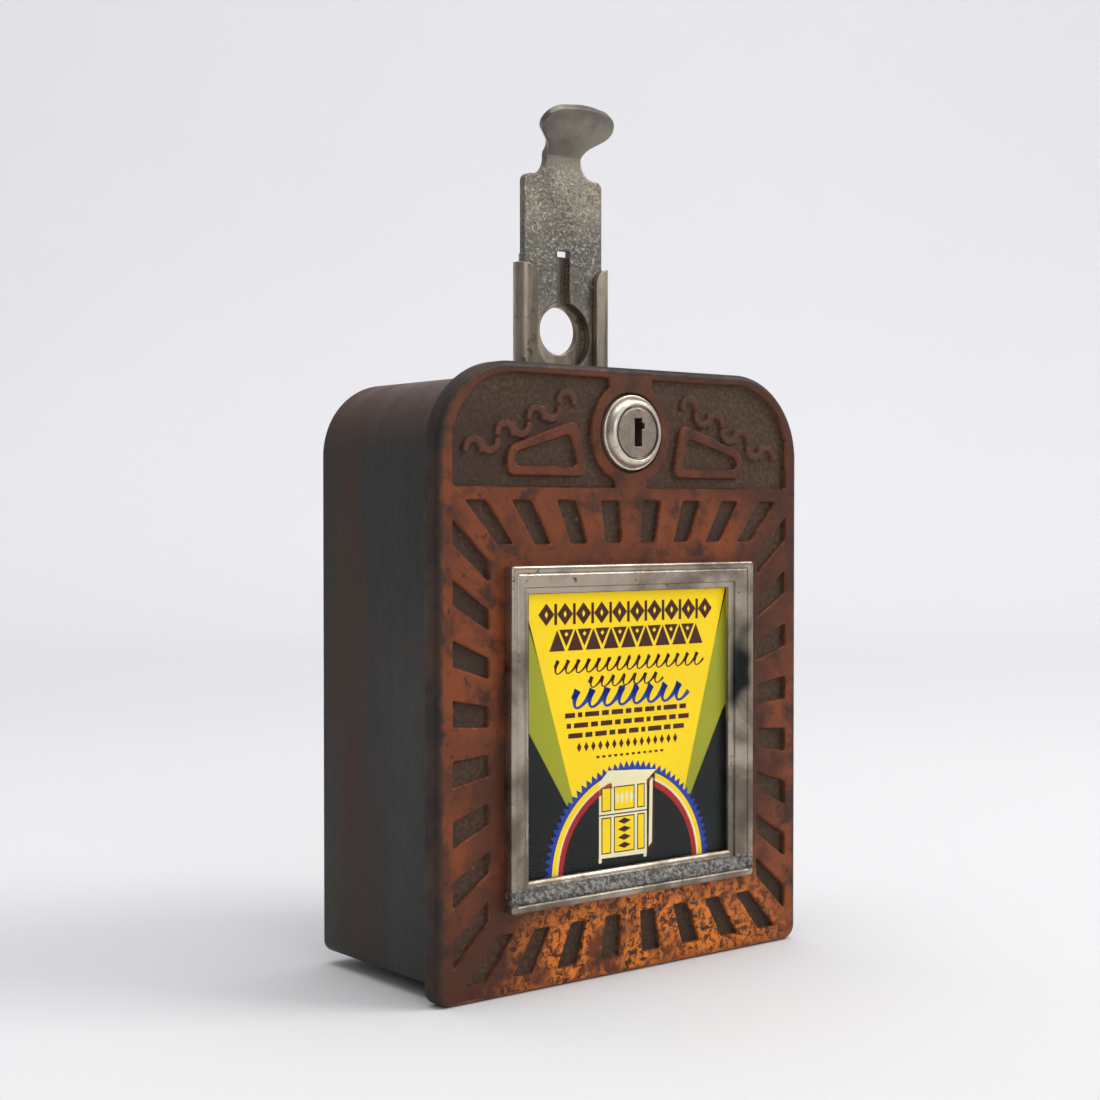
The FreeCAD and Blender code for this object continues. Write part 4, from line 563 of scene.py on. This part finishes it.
def guide_steel():
    """The guide's smoother plate, brown and streaked down its length."""
    f = Finish("guide_steel")
    streak = f.noise(150, 4, 0.6, 0.2, f.stretched(1.0, 1.0, 0.12))
    cloud = f.noise(90, 4, 0.6)
    colour = f.blend(f.between(streak, 0.38, 0.64), linear(172, 160, 142), linear(118, 106, 92))
    rust = f.times(f.between(f.noise(240, 5, 0.7), 0.56, 0.68), f.zone("Z", 176, 164))
    colour = f.blend(rust, colour, linear(70, 58, 46))
    f.set(Base_Color=colour, Metallic=0.85)
    f.set(Roughness=f.between(cloud, 0.36, 0.66, 0.26, 0.4))
    f.bumps((streak, 0.00012), (f.noise(240, 5, 0.7), 0.0001), normal=f.rounded(0.0006))
    return f.material


def plain_metal(name, light, dark, rough):
    """Brushed or drawn metal for the works inside."""
    f = Finish(name)
    brushed = f.noise(240, 4, 0.6, 0.0, f.stretched(1.0, 1.0, 0.08))
    cloud = f.noise(70, 4, 0.6, 0.3)
    colour = f.blend(f.between(cloud, 0.38, 0.66), light, dark)
    f.set(Base_Color=colour, Metallic=0.9)
    f.set(Roughness=f.between(brushed, 0.3, 0.7, rough - 0.06, rough + 0.1))
    f.bumps((brushed, 0.00004), normal=f.rounded(0.00025))
    return f.material


def dull(name, light, dark, rough, scale, distance, coat=0.0):
    """Painted, moulded or fibrous surfaces."""
    f = Finish(name)
    grain = f.noise(scale, 5, 0.65, 0.3)
    colour = f.blend(f.between(grain, 0.36, 0.66), light, dark)
    f.set(Base_Color=colour, Coat_Weight=coat)
    f.set(Roughness=f.between(f.noise(60, 3, 0.5), 0.3, 0.7, rough - 0.06, rough + 0.08))
    f.bumps((grain, distance), normal=f.rounded(0.0003))
    return f.material


def ink(name, colour):
    """A flat printing colour on card, with a little grain and fading, and a faint painted glow: the ink
    emits light though the card is no lamp.
    """
    f = Finish("ink_" + name)
    faded = tuple(min(1.0, c * 0.92 + 0.002) for c in colour[:3]) + (1.0,)
    printed = f.blend(f.between(f.noise(46, 4, 0.6), 0.35, 0.7), colour, faded)
    # Painted light: the ink glows in its own colour at strength 0.3, which brightens the card beyond what
    # the lamps give.
    f.set(Base_Color=printed, Emission_Color=printed, Emission_Strength=0.3)
    f.set(Roughness=f.between(f.noise(900, 3, 0.6), 0.3, 0.7, 0.5, 0.62), Specular_IOR_Level=0.3)
    f.bumps((f.noise(1500, 3, 0.6), 0.00002))
    return f.material


def window_glass():
    """Clear glass over the card: a faint reflection and nothing else."""
    f = Finish("window_glass")
    through = f.add("ShaderNodeBsdfTransparent")
    through.inputs["Color"].default_value = (0.965, 0.98, 0.97, 1.0)
    shine = f.add("ShaderNodeBsdfGlossy")
    shine.inputs["Roughness"].default_value = 0.03
    facing = f.add("ShaderNodeFresnel")
    facing.inputs["IOR"].default_value = 1.14
    ripple = f.add("ShaderNodeBump")
    ripple.inputs["Distance"].default_value = 0.00002
    f.feed(f.noise(30, 2, 0.4), ripple.inputs["Height"])
    f.feed(ripple.outputs["Normal"], shine.inputs["Normal"])
    mix = f.add("ShaderNodeMixShader")
    f.feed(facing.outputs["Fac"], mix.inputs["Fac"])
    f.feed(through.outputs[0], mix.inputs[1])
    f.feed(shine.outputs[0], mix.inputs[2])
    output = next(n for n in f.tree.nodes if n.type == "OUTPUT_MATERIAL")
    f.feed(mix.outputs[0], output.inputs["Surface"])
    return f.material


finishes = {
    "cast_cover": cast_cover(),
    "case_iron": case_iron(),
    "bezel_nickel": bezel_nickel(),
    "lock_nickel": nickel("lock_nickel", linear(232, 222, 206), linear(184, 172, 156), 0.35),
    "slide_steel": slide_steel(),
    "glass": window_glass(),
    "fibreboard": dull("fibreboard", linear(120, 92, 62), linear(88, 66, 44), 0.8, 500, 0.00008),
    "plated_steel": plain_metal("plated_steel", linear(176, 172, 160), linear(132, 128, 118), 0.34),
    "screw_steel": plain_metal("screw_steel", linear(160, 156, 148), linear(112, 106, 98), 0.36),
    "spring_steel": plain_metal("spring_steel", linear(120, 120, 122), linear(84, 84, 88), 0.32),
    "brass": plain_metal("brass", linear(196, 158, 84), linear(142, 108, 56), 0.34),
    "bakelite": dull("bakelite", linear(56, 32, 24), linear(36, 22, 18), 0.34, 120, 0.00004, 0.3),
    "rubber": dull("rubber", linear(34, 34, 34), linear(24, 24, 24), 0.75, 700, 0.00005),
    "tray_paint": dull("tray_paint", linear(42, 44, 42), linear(30, 31, 30), 0.42, 300, 0.00006, 0.2),
}

own_finishes = {
    "slide_guide": guide_steel(),
    "lock_plug": nickel("plug_nickel", linear(176, 162, 148), linear(132, 120, 108), 0.5),
}

slots = {s["node"]: s["material_slot"] for s in frame["record"]["subparts"]}
for name, item in nodes.items():
    item.data.materials.clear()
    shared = finishes.get(slots[name], finishes["fibreboard"])
    item.data.materials.append(own_finishes.get(name, shared))


# ---------------------------------------------------------------- pieces that stand for CAD nodes

def front_cover():
    """The casting's face as a fine net, its rim, and the CAD's back."""
    step = 0.3
    points, faces = joined(cover_skin(step), cover_rim(), cad_part("front_cover", cover_behind))
    piece = new_object("cover_casting", points, faces, "cover", "cast_cover", 40.0)
    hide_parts("front_cover")


def mitred_loop(half_x, half_z, depth, radius, per_corner=5):
    """Points round the picture's moulding at one depth."""
    loop = []
    for sx, sz, first in ((1, 1, 0), (-1, 1, 90), (-1, -1, 180), (1, -1, 270)):
        for turn in np.radians(np.linspace(first, first + 90, per_corner)):
            loop.append((sx * (half_x - radius) + radius * math.cos(turn), depth_y(depth),
                         PICTURE_Z + sz * (half_z - radius) + radius * math.sin(turn)))
    return loop


def bezel():
    """Swept moulding: bead, quirk, slope, step and lip."""
    low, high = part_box("bezel_frame")
    half_x = high.x / MM
    half_z = (high.z - low.z) / MM / 2
    proud = (FRONT - low.y) / MM
    profile = [
        (0.0, 0.0), (0.0, 0.35 - proud), (0.12, 0.16 - proud), (0.45, -proud), (1.25, -proud),
        (1.6, 0.14 - proud), (1.78, 0.4 - proud), (2.1, 0.38 - proud), (2.3, 0.2 - proud),
        (2.6, 0.24 - proud), (4.0, 0.86 - proud), (5.1, 1.3 - proud), (5.35, 1.5 - proud),
        (5.42, 1.86 - proud), (5.95, 1.9 - proud), (6.15, 1.94 - proud), (6.7, 2.3 - proud),
        (6.92, 2.45 - proud), (7.0, 2.7 - proud), (7.0, 0.3),
    ]
    loops = [mitred_loop(half_x - inset, half_z - inset, depth, max(0.9 - inset * 0.25, 0.12))
             for inset, depth in profile]

    def behind(corners):
        depth = corners[:, 1] - FRONT / MM
        return depth.max() > 0.05 and depth.min() > -0.05

    points, faces = joined(closed_strip(loops, flip=True), cad_part("bezel_frame", behind))
    piece = new_object("bezel_moulding", points, faces, "cover", "bezel_nickel", 50.0)
    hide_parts("bezel_frame")


def lock_ring():
    """A turned ring: flange, step, cone and rolled lip."""
    low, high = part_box("lock_housing")
    centre_z = (low.z + high.z) / 2 / MM
    proud = (FRONT - low.y) / MM
    profile = [
        (9.5, 0.0), (9.5, -0.3), (9.42, -0.5), (9.2, -0.62), (8.86, -0.66), (8.8, -0.8), (8.74, -1.0),
        (8.5, -1.5), (8.18, -2.05), (7.9, -2.38), (7.6, 0.06 - proud), (7.3, -proud), (7.08, 0.06 - proud),
        (6.94, 0.2 - proud), (6.9, 0.45 - proud), (6.9, -1.2),
    ]
    turns = np.linspace(0, 2 * math.pi, 96, endpoint=False)
    loops = [[(r * math.cos(t), depth_y(depth), centre_z + r * math.sin(t)) for t in turns]
             for r, depth in profile]
    behind = cad_part("lock_housing", lambda corners: corners[:, 1].min() > FRONT / MM - 1.25)
    points, faces = joined(closed_strip(loops, flip=True), behind)
    piece = new_object("lock_ring", points, faces, "cover", "lock_nickel", 50.0)
    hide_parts("lock_housing")


def return_spring():
    """The spring's wire, with flat end turns."""
    low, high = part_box("return_spring")
    wire, flat, end_rise = 0.45, 0.8, 0.03
    centre = ((low.x + high.x) / 2 / MM, (low.y + high.y) / 2 / MM)
    radius = (high.x - low.x) / 2 / MM - wire
    foot, top = low.z / MM + wire, high.z / MM - wire
    turns, around, steps = 10.0, 10, 420
    share = np.linspace(0, 1, steps)
    ease = np.clip((share * turns - flat) / (turns - 2 * flat), 0, 1)
    points = []
    for s, e in zip(share, ease):
        turn = s * turns * 2 * math.pi
        ends = end_rise * (min(s * turns, 1) + max(s * turns - turns + 1, 0))
        height = foot + (top - foot) * (ends + (1 - 2 * end_rise) * e)
        for a in np.linspace(0, 2 * math.pi, around, endpoint=False):
            reach = radius + wire * math.cos(a)
            points.append((centre[0] + reach * math.cos(turn), centre[1] + reach * math.sin(turn),
                           height + wire * math.sin(a)))
    faces = strip_faces(steps, around, closed=True)
    faces += [list(range(around)), list(range((steps - 1) * around, steps * around))[::-1]]
    piece = new_object("spring_wire", points, faces, "case", "spring_steel")
    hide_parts("return_spring")
    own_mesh(piece)


# ---------------------------------------------------------------- the card

INKS = {
    "black": linear(8, 10, 11),
    "yellow": linear(255, 214, 14),
    "olive": linear(158, 156, 36),
    "blue": linear(32, 58, 160),
    "red": linear(170, 30, 34),
    "cream": linear(240, 228, 190),
    "maroon": linear(66, 22, 20),
}


def oblong(x0, z0, x1, z1):
    return [(x0, z0), (x1, z0), (x1, z1), (x0, z1)]


def arc_band(centre, inner, outer, first, last, steps=48):
    turns = np.radians(np.linspace(first, last, steps))
    out = [(centre[0] + outer * math.cos(t), centre[1] + outer * math.sin(t)) for t in turns]
    back = [(centre[0] + inner * math.cos(t), centre[1] + inner * math.sin(t)) for t in turns[::-1]]
    return out + back


def ribbon(points, width):
    """A stroke along a line, as one quad for each step."""
    points = np.asarray(points, float)
    along = np.gradient(points, axis=0)
    along /= np.linalg.norm(along, axis=1)[:, None]
    side = np.stack([-along[:, 1], along[:, 0]], axis=1) * (np.asarray(width) / 2).reshape(-1, 1)
    left, right = points + side, points - side
    return [[tuple(left[i]), tuple(right[i]), tuple(right[i + 1]), tuple(left[i + 1])]
            for i in range(len(points) - 1)]


def wave(x0, x1, z, height, turns, width, lean=0.35):
    """A running hand-drawn wave with thick and thin strokes."""
    t = np.linspace(0, 1, int(turns * 18))
    phase = t * turns * 2 * math.pi
    x = x0 + (x1 - x0) * t + lean * height * np.sin(phase + 0.6)
    line = np.stack([x, z + height / 2 * np.sin(phase)], axis=1)
    return ribbon(line, width * (0.65 + 0.35 * np.sin(phase)))


def lozenge(x, z, half_x, half_z):
    return [(x - half_x, z), (x, z - half_z), (x + half_x, z), (x, z + half_z)]


# Each shape is an ink, a level (higher ones lie in front) and an outline.

def beam_shapes():
    yield "olive", 1, [(-35, 97.4), (-35, 67.5), (-33.3, 65.4), (-19.9, 44.0), (-16.0, 44.6)]
    yield "olive", 1, [(35, 97.4), (35, 66.6), (33.3, 64.8), (21.6, 43.0), (17.6, 44.0)]
    yield "yellow", 2, [(-34.4, 98.6), (-17.6, 44.2), (19.2, 43.4), (34.6, 98.6)]


def arch_shapes():
    """A toothed arch in bands round a dark half disc."""
    centre = (0.5, 26.0)
    teeth = 44
    for n in range(teeth):
        first = 180 * n / teeth
        a, b, c = (math.radians(first + 180 / teeth * share) for share in (0, 0.5, 1))
        yield "blue", 3, [
            (centre[0] + r * math.cos(t), centre[1] + r * math.sin(t))
            for r, t in ((24.6, a), (26.0, a), (27.7, b), (26.0, c), (24.6, c))
        ]
    yield "yellow", 4, arc_band(centre, 23.4, 25.2, 0, 180)
    yield "cream", 5, arc_band(centre, 23.2, 23.9, 0, 75)
    yield "cream", 5, arc_band(centre, 23.2, 23.7, 105, 180)
    yield "red", 5, arc_band(centre, 21.7, 23.3, 0, 75)
    yield "red", 5, arc_band(centre, 21.7, 23.3, 105, 180)
    yield "black", 4, arc_band(centre, 0.5, 23.4, 0, 180)


def cabinet_shapes():
    """A plain cabinet with three bays, drawn a little from its right."""
    yield "cream", 5, [(-9.6, 29.6), (6.4, 29.3), (6.4, 48.6), (-9.6, 48.4)]
    yield "cream", 5, [(-10.2, 48.2), (6.9, 48.4), (9.6, 50.6), (-6.4, 51.6)]
    yield "maroon", 5, [(6.4, 29.3), (8.9, 31.6), (9.2, 50.2), (6.9, 48.6)]
    yield "cream", 6, [(7.0, 31.0), (8.1, 32.0), (8.4, 48.6), (7.3, 47.8)]
    for x0, x1 in ((-8.8, -5.6), (-4.7, 2.2), (3.1, 5.6)):
        yield "maroon", 6, oblong(x0, 41.3, x1, 47.4)
        yield "yellow", 7, oblong(x0 + 0.3, 41.6, x1 - 0.3, 47.1)
        yield "maroon", 6, oblong(x0, 30.6, x1, 39.8)
        yield "yellow", 7, oblong(x0 + 0.3, 30.9, x1 - 0.3, 39.5)
    for n in range(4):
        yield "maroon", 8, lozenge(-1.25, 32.3 + 2.05 * n, 2.2, 0.8)
        yield "cream", 8, lozenge(-3.6 + 1.55 * n, 44.4, 0.6, 1.8)
    yield "maroon", 6, oblong(-9.6, 40.3, 6.4, 40.6)
    for x in (-9.2, 5.8):
        yield "cream", 5, oblong(x - 0.5, 28.5, x + 0.5, 29.6)


def dashes(x, end, z, first):
    """A row of dashes of mixed lengths."""
    lengths = (3.2, 1.4, 4.6, 2.3, 3.8, 1.9, 2.8)
    gap, half_high, shortest = 0.9, 0.62, 1.2
    step = first
    while x < end - shortest:
        length = min(lengths[step % len(lengths)], end - x)
        yield oblong(x, z - half_high, x + length, z + half_high)
        x += length + gap
        step += 1


def banner_shapes():
    """Rows of plain ornament where a printed card has its words."""
    for n in range(10):
        x = -26.4 + 5.9 * n
        yield "maroon", 3, lozenge(x, 91.5, 2.5, 2.8)
        yield "yellow", 4, lozenge(x, 91.5, 0.5, 0.9)
        if n < 9:
            yield "maroon", 3, oblong(x + 2.5, 88.9, x + 3.4, 94.1)
    for n in range(9):
        x = -23.0 + 5.8 * n
        yield "maroon", 3, [(x - 2.5, 82.4), (x + 2.5, 82.4), (x, 87.7)]
        if n < 8:
            yield "maroon", 3, [(x + 0.6, 87.7), (x + 5.2, 87.7), (x + 2.9, 83.4)]
            yield "yellow", 4, lozenge(x + 2.9, 86.5, 0.6, 0.6)
    waves = (
        ("maroon", wave(-24.5, 25.5, 78.4, 3.2, 15, 1.15)),
        ("maroon", wave(-13.5, 11.5, 74.2, 2.6, 7, 1.1)),
        ("blue", wave(-19.0, 20.0, 70.2, 4.4, 8, 2.2)),
    )
    for ink_name, quads in waves:
        for quad in quads:
            yield ink_name, 3, quad
    for row, (start, end, z) in enumerate(((-20.5, 21.0, 66.3), (-20.0, 21.0, 63.7), (-19.5, 20.5, 61.2))):
        for dash in dashes(start, end, z, row):
            yield "maroon", 3, dash
    for n in range(15):
        x = -16.0 + 2.3 * n
        yield "maroon", 3, lozenge(x, 58.2, 0.75, 1.25)
    for n in range(12):
        x = -10.4 + 1.95 * n
        yield "maroon", 3, oblong(x, 55.0, x + 1.0, 55.6)


def clipped(shape, half_x, low, high):
    """Keeps a shape inside the card."""
    return [(min(max(x, -half_x), half_x), min(max(z, low), high)) for x, z in shape]


def sign_card():
    """The printed front, in thin layers of colour, on a card the size of the CAD's."""
    low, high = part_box("sign_card")
    inset = 0.02
    half_x = high.x / MM - inset
    bottom, top = low.z / MM + inset, high.z / MM - inset
    thick = (high.y - low.y) / MM
    names = list(INKS)
    points, faces, colours = [], [], []

    def lay(ink_name, level, shape):
        y = high.y / MM - inset - thick * (0.1 + 0.085 * level)
        shape = clipped(shape, half_x, bottom, top)
        start = len(points)
        points.extend((x, y, z) for x, z in shape)
        area = sum(a[0] * b[1] - b[0] * a[1] for a, b in zip(shape, shape[1:] + shape[:1]))
        face = list(range(start, len(points)))
        faces.append(face if area > 0 else face[::-1])
        colours.append(names.index(ink_name))

    lay("black", 0, oblong(-half_x, bottom, half_x, top))
    for shapes in (beam_shapes(), arch_shapes(), cabinet_shapes(), banner_shapes()):
        for ink_name, level, shape in shapes:
            lay(ink_name, level, shape)
    back = high.y / MM - 0.01
    corners = [(x, back, z) for x, z in oblong(-half_x, bottom, half_x, top)]
    start = len(points)
    points.extend(corners)
    faces.append([start + n for n in (3, 2, 1, 0)])
    colours.append(names.index("cream"))
    materials = [ink(name, colour) for name, colour in INKS.items()]
    piece = new_object("printed_card", points, faces, "cover", "printed_card", None, materials)
    for face, colour in zip(piece.data.polygons, colours):
        face.material_index = colour
        face.use_smooth = False
    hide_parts("sign_card")


front_cover()
bezel()
lock_ring()
return_spring()
sign_card()


# ---------------------------------------------------------------- floor, light and camera

def floor_and_backdrop():
    """One sheet: a floor that turns up into a wall far behind."""
    width, near, far, bend, high = 9.0, -12.0, 2.2, 0.9, 4.0
    profile = [(near, 0.0), (far - bend, 0.0)]
    for turn in np.linspace(0, math.pi / 2, 24)[1:]:
        profile.append((far - bend + bend * math.sin(turn), bend * (1 - math.cos(turn))))
    profile.append((far, high))
    points = [(x, y, z) for y, z in profile for x in (-width, width)]
    mesh = bpy.data.meshes.new("studio_sweep")
    mesh.from_pydata(points, [], strip_faces(len(profile), 2, flip=True))
    mesh.shade_smooth()
    sweep = bpy.data.objects.new("studio_sweep", mesh)
    bpy.context.scene.collection.objects.link(sweep)
    f = Finish("studio_paper")
    colour = f.blend(f.noise(3, 2, 0.5), (0.76, 0.755, 0.765, 1.0), (0.79, 0.785, 0.79, 1.0))
    f.set(Base_Color=colour, Roughness=0.9, Specular_IOR_Level=0.1, Emission_Color=(0.96, 0.94, 1.0, 1.0))
    f.set(Emission_Strength=f.between(f.axis("Y"), 0.5, 2.0, 0.0, 0.26))
    mesh.materials.append(f.material)
    sweep.rotation_euler = Euler((0, 0, math.radians(-38)))


def area_light(name, place, target, size, power, colour=(1, 1, 1)):
    data = bpy.data.lights.new(name, "AREA")
    data.shape = "RECTANGLE"
    data.size, data.size_y = size
    data.energy = power
    data.color = colour
    item = bpy.data.objects.new(name, data)
    item.location = place
    item.rotation_euler = (Vector(target) - Vector(place)).to_track_quat("-Z", "Y").to_euler()
    bpy.context.scene.collection.objects.link(item)


def lighting():
    """A bright room that is darker to the left and below, with soft lamps on the right."""
    scene = bpy.context.scene
    scene.view_settings.view_transform = "Standard"
    world = bpy.data.worlds.new("studio")
    scene.world = world
    world.use_nodes = True
    tree = world.node_tree
    direction = tree.nodes.new("ShaderNodeTexCoord").outputs["Generated"]
    parts = tree.nodes.new("ShaderNodeSeparateXYZ")
    tree.links.new(direction, parts.inputs[0])
    strengths = []
    for letter, low, high, least, most in (("Z", -0.3, 0.7, 0.3, 0.95), ("X", -0.9, 0.6, 0.3, 0.95)):
        ramp = tree.nodes.new("ShaderNodeMapRange")
        ramp.interpolation_type = "SMOOTHSTEP"
        for name, number in (("From Min", low), ("From Max", high), ("To Min", least), ("To Max", most)):
            ramp.inputs[name].default_value = number
        tree.links.new(parts.outputs[letter], ramp.inputs["Value"])
        strengths.append(ramp.outputs["Result"])
    product = tree.nodes.new("ShaderNodeMath")
    product.operation = "MULTIPLY"
    for source, socket in zip(strengths, product.inputs):
        tree.links.new(source, socket)
    background = tree.nodes["Background"]
    background.inputs["Color"].default_value = (0.95, 0.97, 1.0, 1.0)
    tree.links.new(product.outputs[0], background.inputs["Strength"])
    middle = (0, 0, 0.1)
    area_light("key", (1.1, -1.0, 1.3), middle, (0.9, 0.9), 15, (1.0, 0.98, 0.95))
    area_light("overhead", (-0.1, 0.1, 1.7), middle, (1.4, 1.4), 12)
    area_light("front_fill", (-0.5, -1.6, 0.5), middle, (1.2, 0.8), 4)


def camera():
    """The photograph's camera, solved together with the box's size."""
    data = bpy.data.cameras.new("camera")
    data.lens = 59.73
    data.sensor_width = 36.0
    item = bpy.data.objects.new("camera", data)
    item.location = (-0.30308, -0.37518, 0.11588)
    item.rotation_euler = Euler((math.radians(88.907), 0.0, math.radians(-38.474)))
    bpy.context.scene.collection.objects.link(item)
    bpy.context.scene.camera = item


floor_and_backdrop()
lighting()
camera()
